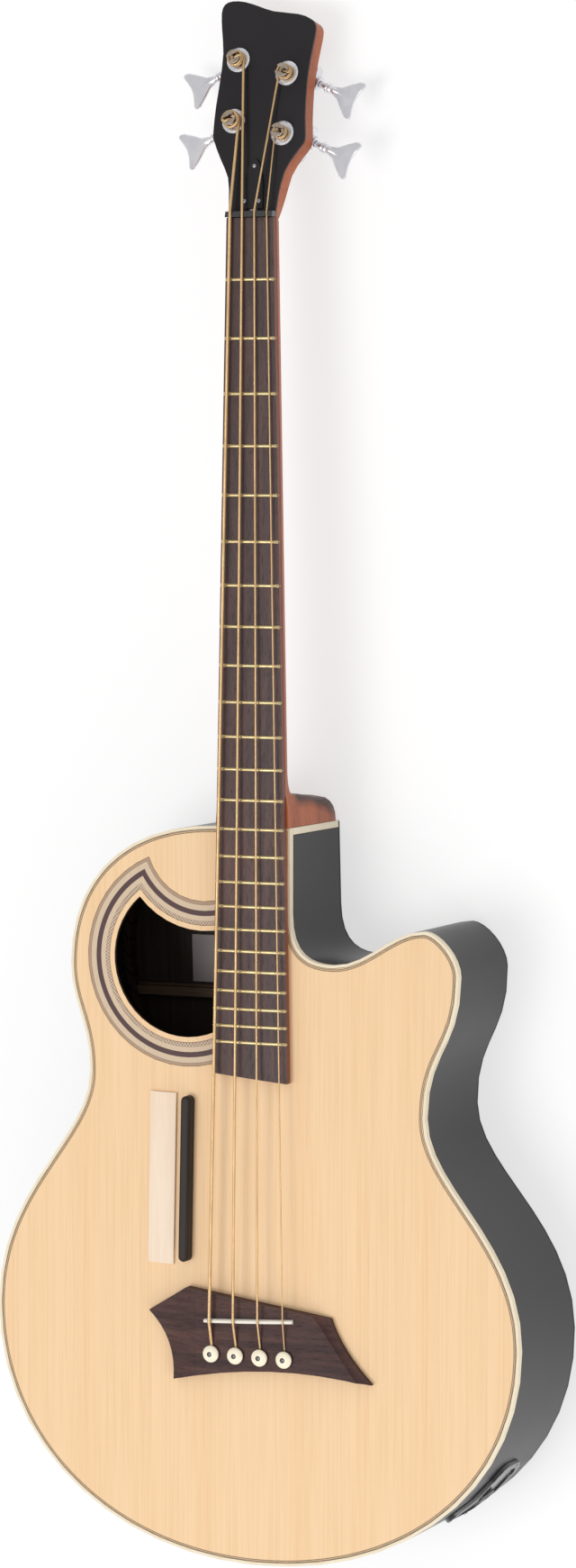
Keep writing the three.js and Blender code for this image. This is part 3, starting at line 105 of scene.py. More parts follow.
floor_half = 12
floor_level = -0.0005
floor_grey = 0.4
floor_glow = 0.6
corner_signs = ((-1, -1), (1, -1), (1, 1), (-1, 1))
floor_corners = [(x * floor_half, y * floor_half, floor_level) for x, y in corner_signs]
floor_mesh = bpy.data.meshes.new("floor")
floor_mesh.from_pydata(floor_corners, [], [(0, 1, 2, 3)])
floor = bpy.data.objects.new("floor", floor_mesh)
floor_paint = bpy.data.materials.new("floor_paint")
floor_paint.use_nodes = True
floor_shader = floor_paint.node_tree.nodes["Principled BSDF"]
floor_shader.inputs["Base Color"].default_value = (floor_grey, floor_grey, floor_grey, 1)
floor_shader.inputs["Roughness"].default_value = 0.9
floor_shader.inputs["Emission Color"].default_value = (1, 1, 1, 1)
floor_shader.inputs["Emission Strength"].default_value = floor_glow
floor_mesh.materials.append(floor_paint)
scene.collection.objects.link(floor)

# The top: two bookmatched leaves of spruce, quarter sawn, with fine grain along the strings, under
# a thin clear satin lacquer. It is glued to the ribs' linings and braced from below.
# Its frame starts mid saddle: X treble side, Y head, Z outwards. The box is shallower at the neck.
scale_length = 0.8636
joint_fret = 14
joint_past_fret = 0.0013
neck_joint_y = scale_length * 2 ** (-joint_fret / 12) + joint_past_fret
tail_y = -0.203
depth_at_tail = 0.1334
depth_at_neck = 0.0983
depth_slope = (depth_at_tail - depth_at_neck) / (neck_joint_y - tail_y)
lean = math.atan(depth_slope)
playing = Matrix.Translation((0, 0, (depth_at_tail + depth_slope * tail_y) * math.cos(lean)))
playing = playing @ Matrix.Rotation(-lean, 4, "X")


class Wire:
    """A shader socket that takes part in sums."""

    def __init__(self, tree, socket=None):
        self.tree, self.socket = tree, socket

    def node(self, kind, settings=(), inputs=(), out=0):
        """Adds a node: its settings first, then the values or wires of its sockets."""
        made = self.tree.nodes.new(kind)
        for key, value in dict(settings).items():
            if key == "stops":
                ramp = made.color_ramp
                while len(ramp.elements) < len(value):
                    ramp.elements.new(1)
                for element, (place, colour) in zip(ramp.elements, value):
                    element.position, element.color = place, (*colour, 1)
            elif key == "interpolation":
                made.color_ramp.interpolation = value
            else:
                setattr(made, key, value)
        for key, value in dict(inputs).items():
            if isinstance(value, Wire):
                self.tree.links.new(value.socket, made.inputs[key])
            else:
                made.inputs[key].default_value = value
        return Wire(self.tree, made.outputs[out])

    def sum(self, operation, *terms):
        return self.node("ShaderNodeMath", {"operation": operation}, enumerate(terms))

    def __add__(self, other):
        return self.sum("ADD", self, other)

    def __radd__(self, other):
        return self.sum("ADD", other, self)

    def __sub__(self, other):
        return self.sum("SUBTRACT", self, other)

    def __rsub__(self, other):
        return self.sum("SUBTRACT", other, self)

    def __mul__(self, other):
        return self.sum("MULTIPLY", self, other)

    def __rmul__(self, other):
        return self.sum("MULTIPLY", other, self)

    def between(self, low, high):
        """0 at low and below, 1 at high and above."""
        return self.node("ShaderNodeMapRange", {}, {0: self, 1: low, 2: high})

    def mix(self, first, second):
        """A colour: first where this wire is 0, second where it is 1."""
        inputs = {0: self, 6: first, 7: second}
        return self.node("ShaderNodeMix", {"data_type": "RGBA"}, inputs, out=2)

    def stretched(self, scale, turn=(0, 0, 0)):
        """This vector, scaled along each axis."""
        inputs = {"Vector": self, "Rotation": turn, "Scale": scale}
        return self.node("ShaderNodeMapping", {}, inputs)

    def noise(self, scale, detail=2, rough=0.5):
        inputs = {"Vector": self, "Scale": scale, "Detail": detail, "Roughness": rough}
        return self.node("ShaderNodeTexNoise", {}, inputs)


def finish(name, draw, **constants):
    """A material: draw(place) gives what varies, the constants are set on the shader."""
    material = bpy.data.materials.new(name)
    material.use_nodes = True
    tree = material.node_tree
    shader = tree.nodes["Principled BSDF"]
    for key, value in constants.items():
        shader.inputs[key.replace("_", " ").title().replace("Ior", "IOR")].default_value = value
    place = Wire(tree).node("ShaderNodeTexCoord", out=3)
    for key, value in draw(place).items():
        if key == "Height":
            bump = {"Height": value[0], "Distance": value[1], "Strength": 1.0}
            value = place.node("ShaderNodeBump", {}, bump)
            key = "Normal"
        if isinstance(value, Wire):
            tree.links.new(value.socket, shader.inputs[key])
        else:
            shader.inputs[key].default_value = value
    return material


def on_playing(place):
    """The row frame's place in the playing frame, for patterns that lie in the top."""
    back = playing.inverted()
    inputs = {"Vector": place, "Location": back.translation, "Rotation": back.to_euler()}
    return place.node("ShaderNodeMapping", {}, inputs)


merge_distance = 2e-6
flat_angle = math.radians(1)
flat_corners = 16


def dressed(node, material, body="instrument", edge=0.0, sharp=35):
    """A cleaned copy of a CAD solid with rounded edges and smooth curved faces.

    A face with many corners is a wide flat one, and is shaded flat.
    """
    form = bmesh.new()
    form.from_mesh(frame["nodes"][node].data)
    bmesh.ops.remove_doubles(form, verts=form.verts, dist=merge_distance)
    bmesh.ops.dissolve_limit(
        form, angle_limit=flat_angle, verts=form.verts, edges=form.edges, delimit=set()
    )
    for face in form.faces:
        face.smooth = True
    mesh = bpy.data.meshes.new(node + "_form")
    form.to_mesh(mesh)
    form.free()
    mesh.set_sharp_from_angle(angle=math.radians(sharp))
    for face in mesh.polygons:
        face.use_smooth = len(face.vertices) < flat_corners
    piece = bpy.data.objects.new(node + "_form", mesh)
    mesh.materials.append(material)
    scene.collection.objects.link(piece)
    if edge:
        bevel = piece.modifiers.new("edge", "BEVEL")
        bevel.width, bevel.segments, bevel.limit_method = edge, 2, "ANGLE"
        bevel.angle_limit = math.radians(sharp)
        bevel.use_clamp_overlap = True
        bevel.harden_normals = True
    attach(piece, body)
    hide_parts(node)
    return piece


spruce_pale = (0.87, 0.62, 0.375, 1)
spruce_line = (0.72, 0.45, 0.23, 1)
spruce_warm = (0.84, 0.57, 0.33, 1)
# Painted shade: the bare walls of the soundhole and the underside of the top are painted near black,
# as the shade inside the box.
underside_painted_shade = (0.06, 0.034, 0.02, 1)
lacquer_foot = -0.0002


def below_lacquer(top):
    """1 on the bare walls and underside of the top, which get painted shade, 0 on its lacquered face.
    """
    height = top.node("ShaderNodeSeparateXYZ", {}, {0: top}, out=2)
    return 1 - height.between(2 * lacquer_foot, lacquer_foot)


def spruce_grain(place):
    """Fine lines along the strings, mirrored at the centre joint, with silk across them, and painted
    shade on the bare walls and underside.
    """
    top = on_playing(place)
    leaf = top.node("ShaderNodeVectorMath", {"operation": "ABSOLUTE"}, {0: top})
    fine = leaf.stretched((1, 0.012, 1)).noise(620, 3, 0.6).between(0.42, 0.72)
    wide = leaf.stretched((1, 0.04, 1)).noise(38, 2).between(0.3, 0.7)
    silk = leaf.stretched((0.25, 1, 1)).noise(240, 2).between(0.45, 0.75)
    colour = (fine * 0.42).mix(wide.mix(spruce_pale, spruce_warm), spruce_line)
    colour = (silk * 0.10).mix(colour, spruce_pale)
    return {
        "Base Color": below_lacquer(top).mix(colour, underside_painted_shade),
        "Roughness": 0.52 + fine * 0.08,
        "Height": (fine, 0.00003),
    }


spruce = finish("spruce", spruce_grain, specular_ior_level=0.25)
dressed("soundboard", spruce, sharp=40)

# The rosette: rings of dyed wood let into the top round the soundhole and its pointed shoulder.
# From the hole outwards a pale ring, a fine twisted rope, a dark band and thin dark lines.
hole_middle = Vector((-0.0592, neck_joint_y - 0.1065, 0))
hole_radius = 0.0629
shoulder_middle = Vector((-0.0439, neck_joint_y - 0.0102, 0))
shoulder_radius = 0.0737
ring_width = 0.024
rope_inner_share = 0.192
rope_outer_share = 0.31
rope_twist = 2400
ring_pale = (0.83, 0.62, 0.415)
ring_tan = (0.65, 0.50, 0.35)
ring_brown = (0.415, 0.285, 0.186)
ring_dark = (0.085, 0.045, 0.045)
ring_line = (0.26, 0.18, 0.14)


def rosette_rings(place):
    """Rings by the distance past the edge of the soundhole or of its shoulder, with painted shade on
    the bare wall of the hole.
    """
    top = on_playing(place)
    flat = top.node("ShaderNodeVectorMath", {"operation": "MULTIPLY"}, {0: top, 1: (1, 1, 0)})

    def reach(middle):
        inputs = {0: flat, 1: middle}
        return flat.node("ShaderNodeVectorMath", {"operation": "DISTANCE"}, inputs, out=1)

    past_hole = reach(hole_middle) - hole_radius
    past_shoulder = shoulder_radius - reach(shoulder_middle)
    share = flat.sum("MAXIMUM", past_hole, past_shoulder) * (1 / ring_width)
    stops = [
        (0.0, ring_pale), (0.18, ring_line), (rope_inner_share, ring_tan),
        (rope_outer_share, ring_line), (0.322, ring_tan), (0.49, ring_dark), (0.665, ring_tan),
        (0.855, ring_line), (0.87, ring_brown), (0.97, ring_line), (0.982, ring_pale),
    ]
    settings = {"interpolation": "CONSTANT", "stops": stops}
    rings = share.node("ShaderNodeValToRGB", settings, {0: share})
    past_inner = share.sum("GREATER_THAN", share, rope_inner_share)
    rope = past_inner * share.sum("LESS_THAN", share, rope_outer_share)
    across = flat.node("ShaderNodeSeparateXYZ", {}, {0: flat})
    along = flat.node("ShaderNodeSeparateXYZ", {}, {0: flat}, out=1)
    twist = across.sum("SINE", across * rope_twist) * along.sum("SINE", along * rope_twist)
    strand = twist.between(-0.1, 0.2)
    grain = top.stretched((1, 0.1, 1)).noise(900, 2).between(0.3, 0.8)
    colour = (rope * strand).mix(rings, (*ring_line, 1))
    colour = (grain * 0.1).mix(colour, (*ring_dark, 1))
    return {
        "Base Color": below_lacquer(top).mix(colour, underside_painted_shade),
        "Roughness": 0.46 + grain * 0.1,
    }


rosette_wood = finish("rosette_wood", rosette_rings, specular_ior_level=0.25)
dressed("rosette", rosette_wood)

# The binding: a strip of cream plastic, bent hot round the edge of the top and scraped flush.
# Thin dark lines of purfling lie inside it, let into the spruce.
cream_light = (0.81, 0.71, 0.53, 1)
cream_deep = (0.76, 0.65, 0.47, 1)


def cream_plastic(place):
    cloud = place.noise(60, 3).between(0.3, 0.7)
    scrape = place.noise(1500, 2)
    return {
        "Base Color": cloud.mix(cream_light, cream_deep),
        "Roughness": 0.38 + scrape * 0.12,
        "Height": (scrape, 0.00001),
    }


cream = finish("cream_binding", cream_plastic, specular_ior_level=0.4)
dressed("top_binding", cream, edge=0.0007, sharp=50)
trim_shine = {"specular_ior_level": 0.5, "coat_weight": 0.3, "coat_roughness": 0.3}
trim_cream = finish("cream_trim", cream_plastic, **trim_shine)
dressed("heel_joint_trim", trim_cream, edge=0.0003)

# The outline of the box: x, y, the axis that the curve leaves along (0 for X, 1 for Y), the shares
# of the way that its two handles reach, and its steps.
outline_stops = [
    (0, tail_y, 0, None, 0),
    (0.227, -0.015, 1, (0.583, 0.581), 40),
    (0.147, neck_joint_y - 0.2235, 1, (0.486, 0.303), 34),
    (0.175, neck_joint_y - 0.1115, 1, (0.483, 0.502), 22),
    (0.1457, neck_joint_y - 0.0768, 0, (0.462, 0.384), 24),
    (0.0682, neck_joint_y - 0.1065, 0, (0.349, 0.372), 22),
    (0.0317, neck_joint_y - 0.067, 1, (0.537, 0.861), 24),
    (0.0317, neck_joint_y, 0, (0.33, 0), 1),
    (-0.0317, neck_joint_y, 0, (0.33, 0.33), 1),
    (-0.161, neck_joint_y - 0.114, 1, (0.6, 0.632), 34),
    (-0.144, neck_joint_y - 0.2005, 1, (0.38, 0.467), 22),
    (-0.227, -0.008, 1, (0.284, 0.493), 34),
    (0, tail_y, 0, (0.593, 0.557), 40),
]


def box_outline():
    """Points round the edge of the box, in the playing frame."""
    points = []
    for (x0, y0, way0, _, _), (x1, y1, way1, shares, steps) in zip(outline_stops, outline_stops[1:]):
        start, end = Vector((x0, y0)), Vector((x1, y1))
        leave, arrive = start.copy(), end.copy()
        leave[way0] += shares[0] * (end[way0] - start[way0])
        arrive[way1] -= shares[1] * (end[way1] - start[way1])
        for i in range(steps):
            t = i / steps
            u = 1 - t
            point = start * u**3 + leave * (3 * u * u * t) + arrive * (3 * u * t * t) + end * t**3
            points.append(point)
    return points


def drawn_in(points, distance):
    """The outline, moved inwards by a distance."""
    moved = []
    for i, point in enumerate(points):
        before = (point - points[i - 1]).normalized()
        after = (points[(i + 1) % len(points)] - point).normalized()
        ways = Vector((-before.y, before.x)), Vector((-after.y, after.x))
        moved.append(point + (ways[0] + ways[1]) * (distance / (1 + ways[0].dot(ways[1]))))
    return moved


purfling_rise = 0.00006


def purfling_line(name, start, end, material):
    """A thin inlaid ring between two distances in from the edge of the top."""
    edge = box_outline()
    rings = [drawn_in(edge, start), drawn_in(edge, end)]
    count = len(edge)
    corners = [playing @ Vector((p.x, p.y, purfling_rise)) for ring in rings for p in ring]
    faces = [(i, (i + 1) % count, count + (i + 1) % count, count + i) for i in range(count)]
    mesh = bpy.data.meshes.new(name)
    mesh.from_pydata(corners, [], faces)
    mesh.materials.append(material)
    piece = bpy.data.objects.new(name, mesh)
    scene.collection.objects.link(piece)
    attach(piece, "instrument")


def dyed_wood(place):
    grain = place.stretched((1, 0.1, 1)).noise(900, 2).between(0.3, 0.8)
    return {
        "Base Color": grain.mix((0.22, 0.155, 0.095, 1), (0.31, 0.225, 0.14, 1)),
        "Roughness": 0.45 + grain * 0.1,
    }


purfling = finish("purfling", dyed_wood, specular_ior_level=0.25)
purfling_line("purfling_outer", 0.0030, 0.0038, purfling)
purfling_line("purfling_inner", 0.0042, 0.0050, purfling)

# The ribs and back: bent and pressed wood under black lacquer, rubbed to an even satin gloss.
# The two ribs meet under the strap button, and the cutaway corner has a cream strip.
lacquer_black = (0.015, 0.013, 0.015, 1)
lacquer_worn = (0.022, 0.020, 0.022, 1)


def black_lacquer(place):
    haze = place.noise(9, 3).between(0.3, 0.7)
    peel = place.noise(420, 2)
    return {
        "Base Color": haze.mix(lacquer_black, lacquer_worn),
        "Roughness": 0.30 + haze * 0.06,
        "Height": (peel, 0.00002),
    }


lacquer = finish("black_lacquer", black_lacquer, specular_ior_level=0.25)
for node in ("treble_side", "bass_side"):
    dressed(node, lacquer, edge=0.0002, sharp=30)

back_thickness = 0.003


def back_wood(place):
    """Lacquer outside; on the face that closes the box, bare wood painted near black as the shade
    inside the box.
    """
    drawn = black_lacquer(place)
    height = place.node("ShaderNodeSeparateXYZ", {}, {0: place}, out=2)
    inside = height.between(back_thickness - 0.00015, back_thickness - 0.00005)
    # Painted shade: the inner face is painted near black, as it lies in the shade of the box.
    grain = place.stretched((1, 0.03, 1)).noise(320, 3).between(0.35, 0.7)
    back_inside_painted_shade = grain.mix((0.040, 0.026, 0.019, 1), (0.022, 0.014, 0.011, 1))
    drawn["Base Color"] = inside.mix(drawn["Base Color"], back_inside_painted_shade)
    drawn["Roughness"] = drawn["Roughness"] + inside * 0.4
    return drawn


lacquered_back = finish("back_wood", back_wood, specular_ior_level=0.36)
dressed("back", lacquered_back, edge=0.0012, sharp=50)

# Inside the box: mahogany blocks and linings, split spruce braces and a hard maple plate.
# All of it is bare wood, glued in place before the box was closed. Braces and linings are painted
# dark as shade.
# Painted shade: the pale spruce of the braces is painted dark brown, as the shade inside the box.
brace_spruce_painted_shade = (0.13, 0.078, 0.045, 1)
brace_grain_painted_shade = (0.08, 0.046, 0.026, 1)


def brace_wood(place):
    grain = place.stretched((0.04, 1, 1)).noise(500, 3).between(0.35, 0.7)
    return {
        "Base Color": grain.mix(brace_spruce_painted_shade, brace_grain_painted_shade),
        "Roughness": 0.62 + grain * 0.15,
        "Height": (grain, 0.00008),
    }


braces_painted_shade = finish("brace_spruce_painted_shade", brace_wood)
for node in ("upper_brace", "x_brace", "tone_bar_1", "tone_bar_2"):
    dressed(node, braces_painted_shade, edge=0.0006)
for number in (1, 2, 3):
    dressed("back_brace_%d" % number, braces_painted_shade, edge=0.0006)

mahogany_light = (0.46, 0.125, 0.045, 1)
mahogany_deep = (0.28, 0.066, 0.022, 1)
mahogany_pore = (0.11, 0.028, 0.012, 1)


def mahogany_grain(place):
    """Ribbon figure with open pores, both along the piece."""
    along = place.stretched((1, 0.05, 1))
    ribbon = place.stretched((1, 0.015, 1)).noise(60, 3).between(0.3, 0.7)
    pores = along.noise(1500, 2, 0.6).between(0.58, 0.68)
    colour = ribbon.mix(mahogany_light, mahogany_deep)
    return {
        "Base Color": (pores * 0.55).mix(colour, mahogany_pore),
        "Roughness": 0.40 + pores * 0.2,
        "Height": (1 - pores, 0.00005),
    }


mahogany = finish("mahogany", mahogany_grain, specular_ior_level=0.3)
for node in ("neck_block", "tail_block"):
    dressed(node, mahogany, edge=0.0008)

box_middle_y = 0.08
kerfs_per_radian = 170


def kerfed_wood(place):
    """Bare wood with saw cuts every few millimetres, which let the strip bend; painted near black and
    the cuts darker, as painted shade.
    """
    across = place.node("ShaderNodeSeparateXYZ", {}, {0: place})
    along = place.node("ShaderNodeSeparateXYZ", {}, {0: place}, out=1)
    turn = place.sum("ARCTAN2", along - box_middle_y, across)
    kerf = place.sum("SINE", turn * kerfs_per_radian).between(0.86, 0.95)
    grain = place.noise(260, 3).between(0.35, 0.7)
    # Painted shade: the linings are painted near black, as the shade inside the box.
    lining_painted_shade = grain.mix((0.040, 0.020, 0.013, 1), (0.026, 0.013, 0.009, 1))
    return {
        "Base Color": kerf.mix(lining_painted_shade, (0.006, 0.003, 0.002, 1)),
        "Roughness": 0.6 + grain * 0.2,
        "Height": (1 - kerf, 0.0006),
    }


kerfed = finish("kerfed_lining", kerfed_wood, specular_ior_level=0.25)
for side in ("bass", "treble"):
    for edge in ("top", "back"):
        dressed(side + "_" + edge + "_lining", kerfed, edge=0.0008)

maple_pale = (0.84, 0.665, 0.505, 1)
maple_white = (0.88, 0.72, 0.57, 1)
maple_line = (0.80, 0.60, 0.43, 1)


def maple_grain(place):
    grain = place.stretched((1, 0.02, 1)).noise(420, 3).between(0.4, 0.75)
    cloud = place.stretched((1, 0.2, 1)).noise(40, 2).between(0.3, 0.7)
    return {
        "Base Color": (grain * 0.4).mix(cloud.mix(maple_pale, maple_white), maple_line),
        "Roughness": 0.52 + grain * 0.12,
        "Height": (grain, 0.00003),
    }


maple = finish("maple", maple_grain, specular_ior_level=0.25)
dressed("bridge_plate", maple)

# The bridge: one block of oiled rosewood with scooped wings and a routed slot, glued to the top.
# Its pores stay open, and its edges are eased by hand.
rosewood_brown = (0.078, 0.038, 0.033, 1)
rosewood_dark = (0.036, 0.019, 0.019, 1)
rosewood_red = (0.115, 0.052, 0.041, 1)


def rosewood_grain(turn):
    """Streaked brown wood with open pores, its grain turned by an angle about Z."""

    def draw(place):
        along = place.stretched((1, 1, 1), (0, 0, turn))
        streak = along.stretched((1, 0.05, 1)).noise(190, 4, 0.6).between(0.35, 0.7)
        pores = along.stretched((1, 0.06, 1)).noise(1800, 2, 0.6).between(0.56, 0.68)
        red = along.stretched((1, 0.1, 1)).noise(45, 2).between(0.45, 0.75)
        colour = streak.mix(red.mix(rosewood_brown, rosewood_red), rosewood_dark)
        return {
            "Base Color": (pores * 0.6).mix(colour, rosewood_dark),
            "Roughness": 0.54 + pores * 0.2,
            "Height": (1 - pores, 0.00006),
        }

    return draw


bridge_wood = finish("bridge_rosewood", rosewood_grain(math.radians(90)), specular_ior_level=0.22)
dressed("bridge", bridge_wood, edge=0.0006, sharp=30)

# The saddle: a bone blade, its top filed to the camber of the fingerboard. It stands in the
# bridge's slot on a thin steel pickup strip, and the same steel makes the rod in the neck.
bone_pale = (0.86, 0.83, 0.76, 1)
bone_deep = (0.80, 0.76, 0.66, 1)


def bone_grain(place):
    cloud = place.noise(160, 3).between(0.3, 0.7)
    return {"Base Color": cloud.mix(bone_pale, bone_deep), "Roughness": 0.28 + cloud * 0.1}


bone = finish("bone", bone_grain, subsurface_weight=0.1, subsurface_scale=0.002)
dressed("saddle", bone, sharp=50)


def brushed_steel(place):
    brush = place.stretched((0.05, 1, 1)).noise(2600, 2).between(0.3, 0.7)
    return {
        "Base Color": brush.mix((0.50, 0.51, 0.53, 1), (0.38, 0.39, 0.41, 1)),
        "Roughness": 0.3 + brush * 0.14,
    }


steel = finish("plain_steel", brushed_steel, metallic=1.0)
for node in ("saddle_pickup", "truss_rod", "truss_rod_nut"):
    dressed(node, steel, edge=0.0002)


# The bridge pins: tapered pegs of cream plastic that hold the ball ends in the plate.
# Each has a slotted shank, a domed head and a dark dot let into the head.
def pin_plastic(place):
    cloud = place.noise(300, 3).between(0.3, 0.7)
    return {
        "Base Color": cloud.mix((0.95, 0.88, 0.70, 1), (0.90, 0.82, 0.62, 1)),
        "Roughness": 0.3 + cloud * 0.08,
    }


def dark_dot(place):
    cloud = place.noise(900, 2)
    return {
        "Base Color": cloud.mix((0.02, 0.015, 0.012, 1), (0.05, 0.035, 0.03, 1)),
        "Roughness": 0.25 + cloud * 0.1,
    }


pin_cream = finish("pin_cream", pin_plastic, coat_weight=0.2, coat_roughness=0.2)
pin_dot = finish("pin_dot", dark_dot, coat_weight=0.4)
string_names = "eadg"
saddle_spread = 0.0635
pin_row_y = -0.0338
pin_head_base = 0.0102
pin_head_height = 0.0042
pin_head_radius = 0.0068
pin_dot_radius = 0.0021
pin_dot_rise = 0.00006
dome_foot = 0.3
dome_turns = [math.radians(9 * i) for i in range(10, -1, -1)]


def turned(name, profile, place, material, body, sides=48, crease=40):
    """A piece turned on a lathe: profile is [(radius, height), ...] about the Z of place."""
    form = bmesh.new()
    rings = []
    for radius, height in profile:
        if radius == 0:
            rings.append([form.verts.new(place @ Vector((0, 0, height)))])
            continue
        ring = []
        for k in range(sides):
            angle = 2 * math.pi * k / sides
            corner = Vector((radius * math.cos(angle), radius * math.sin(angle), height))
            ring.append(form.verts.new(place @ corner))
        rings.append(ring)
    for low, high in zip(rings, rings[1:]):
        for k in range(sides):
            following = (k + 1) % sides
            corners = [low[k % len(low)], low[following % len(low)]]
            corners += [high[following % len(high)], high[k % len(high)]]
            unique = list(dict.fromkeys(corners))
            if len(unique) > 2:
                form.faces.new(unique)
    bmesh.ops.recalc_face_normals(form, faces=form.faces)
    for face in form.faces:
        face.smooth = True
    mesh = bpy.data.meshes.new(name)
    form.to_mesh(mesh)
    form.free()
    mesh.set_sharp_from_angle(angle=math.radians(crease))
    mesh.materials.append(material)
    piece = bpy.data.objects.new(name, mesh)
    scene.collection.objects.link(piece)
    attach(piece, body)
    return piece


# Radius and height of the pin's turned outline below its dome.
pin_shank = [
    (0, -0.0257), (0.0019, -0.0248), (0.0027, -0.023), (0.0036, 0), (0.0061, 0), (0.0066, 0.0004),
]
for index, name in enumerate(string_names):
    across = saddle_spread * (index / 3 - 0.5)
    pin_place = playing @ Matrix.Translation((across, pin_row_y, pin_head_base))
    dome = []
    for angle in dome_turns:
        height = dome_foot + (1 - dome_foot) * math.cos(angle)
        dome.append((pin_head_radius * math.sin(angle), pin_head_height * height))
    body = "pin_" + name
    pin = turned(body, pin_shank + dome, pin_place, pin_cream, body, crease=50)
    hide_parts("bridge_pin_" + name)
    dot_top = pin_head_height + pin_dot_rise
    rim = pin_dot_radius
    dot = [(rim, dot_top - 0.0009), (rim, dot_top - 0.0002), (rim * 0.75, dot_top)]
    dot.append((0, dot_top + 0.00005))
    turned("pin_dot_" + name, dot, pin_place, pin_dot, body, sides=24)

# The thumb rest: a pale maple pad and, beside the low string, a rounded ebony rail for the thumb.
# Both are glued to the top.
dressed("thumb_rest_pad", maple, edge=0.0004)


def ebony_grain(place):
    streak = place.stretched((1, 0.04, 1)).noise(300, 3).between(0.35, 0.7)
    return {
        "Base Color": streak.mix((0.016, 0.011, 0.009, 1), (0.034, 0.023, 0.018, 1)),
        "Roughness": 0.46 + streak * 0.12,
        "Height": (streak, 0.00002),
    }


ebony = finish("ebony", ebony_grain, specular_ior_level=0.25)
dressed("thumb_rest_rail", ebony, sharp=25)

# The neck: mahogany, carved from the heel to the headstock in one piece, satin under the hand.
# It is glued into the neck block and carries the fingerboard and the truss rod. The head's frame
# starts behind the nut, on the face of the headstock, which leans back.
gap = 0.0003
nut_back = 0.8681
head_level = 0.0041
head_angle = math.radians(10.5)
head = playing @ Matrix.Translation((0, nut_back + gap, head_level))
head = head @ Matrix.Rotation(-head_angle, 4, "X")
heel_edge_y = 0.4046
heel_swell = 0.0042
# Painted shade: the near-black colour laid round the head-ward edge of the heel.
heel_painted_shade = (0.030, 0.009, 0.006, 1)
shaft_depth = 0.04


def neck_wood_with_painted_shade(place):
    """Mahogany, with painted shade round the head-ward edge of the heel, strongest at its two rims.
    """
    top = on_playing(place)
    drawn = mahogany_grain(place)
    along = top.node("ShaderNodeSeparateXYZ", {}, {0: top}, out=1)
    depth = -shaft_depth - top.node("ShaderNodeSeparateXYZ", {}, {0: top}, out=2)
    fall = depth.sum("POWER", depth.sum("MAXIMUM", depth, 0.0) * 25, 1.6) * 0.014
    fall = fall - depth.between(0.020, 0.040) * heel_swell
    inside = (along + fall).between(heel_edge_y - 0.005, heel_edge_y + 0.003)
    # The painted shade is strongest at the heel's rims, weaker in its middle, and fades towards its
    # foot.
    heel = inside * depth.between(-0.028, -0.018) * (1 - along.between(0.43, 0.46))
    across = top.node("ShaderNodeSeparateXYZ", {}, {0: top})
    rim = across.sum("ABSOLUTE", across).between(0.004, 0.022)
    heel = heel * (1 - depth.between(0.040, 0.052) * 0.6) * (0.45 + 0.55 * rim)
    drawn["Base Color"] = (heel * 0.94).mix(drawn["Base Color"], heel_painted_shade)
    return drawn


mahogany_with_painted_heel_shade = finish("neck_wood_with_painted_shade", neck_wood_with_painted_shade, specular_ior_level=0.3)
neck = dressed("neck", mahogany_with_painted_heel_shade, sharp=38)


def eased(share):
    """A smooth rise from 0 to 1 as share goes from 0 to 1."""
    share = min(1, max(0, share))
    return share * share * (3 - 2 * share)


# The heel is carved a little fuller towards the head from two thirds of its depth down.
heel_root_y = neck_joint_y + gap
heel_end_y = 0.42
swell_start, swell_in = 0.060, 0.020
swell_stop, swell_out = 0.090, 0.008
swell_root = 0.010
for vertex in neck.data.vertices:
    spot = playing.inverted() @ vertex.co
    deep = -spot.z
    if heel_root_y < spot.y < heel_end_y and deep > swell_start:
        swell = eased((deep - swell_start) / swell_in) * (1 - eased((deep - swell_stop) / swell_out))
        spot.y += heel_swell * swell * min(1, (spot.y - heel_root_y) / swell_root)
        vertex.co = playing @ spot

# The square corners of the blank beside the nut are carved down into the round of the shaft.
carve_end = 0.022
carve_length = 0.028
carve_start = carve_end - carve_length - 0.0005
carve_in, carve_up = 0.0038, 0.0021
blank_under = -0.0158
shaft_half = 0.0195
for vertex in neck.data.vertices:
    spot = head.inverted() @ vertex.co
    beside_nut = carve_start < spot.y < carve_end
    if beside_nut and spot.z < blank_under and abs(spot.x) > shaft_half:
        cut = ((carve_end - spot.y) / carve_length) ** 2
        spot.x -= math.copysign(carve_in * cut, spot.x)
        spot.z += carve_up * cut
        vertex.co = head @ spot


# The fingerboard: rosewood, planed to a gentle camber, with a skewed end over the soundhole side.
# Twenty-four slots are sawn across it, and each holds a crowned brass fret by its tang.
def mesh_piece(name, points, faces, material, body, slot, edge=0.0, crease=35):
    """A new piece from points and faces given in row-frame metres."""
    form = bmesh.new()
    verts = [form.verts.new(p) for p in points]
    for face in faces:
        form.faces.new([verts[i] for i in face])
    bmesh.ops.recalc_face_normals(form, faces=form.faces)
    for face in form.faces:
        face.smooth = True
    mesh = bpy.data.meshes.new(name)
    form.to_mesh(mesh)
    form.free()
    mesh.set_sharp_from_angle(angle=math.radians(crease))
    mesh.materials.append(material)
    piece = bpy.data.objects.new(name, mesh)
    scene.collection.objects.link(piece)
    if edge:
        bevel = piece.modifiers.new("edge", "BEVEL")
        bevel.width, bevel.segments, bevel.limit_method = edge, 2, "ANGLE"
        bevel.angle_limit = math.radians(crease)
        bevel.harden_normals = True
    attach(piece, body)
    return piece


def lofted(rings):
    """Points and faces of a skin over rings of equal count, closed at both ends."""
    count = len(rings[0])
    faces = [tuple(reversed(range(count))), tuple((len(rings) - 1) * count + i for i in range(count))]
    for r in range(len(rings) - 1):
        for i in range(count):
            following = (i + 1) % count
            low, high = r * count, (r + 1) * count
            faces.append((low + i, low + following, high + following, high + i))
    return [p for ring in rings for p in ring], faces


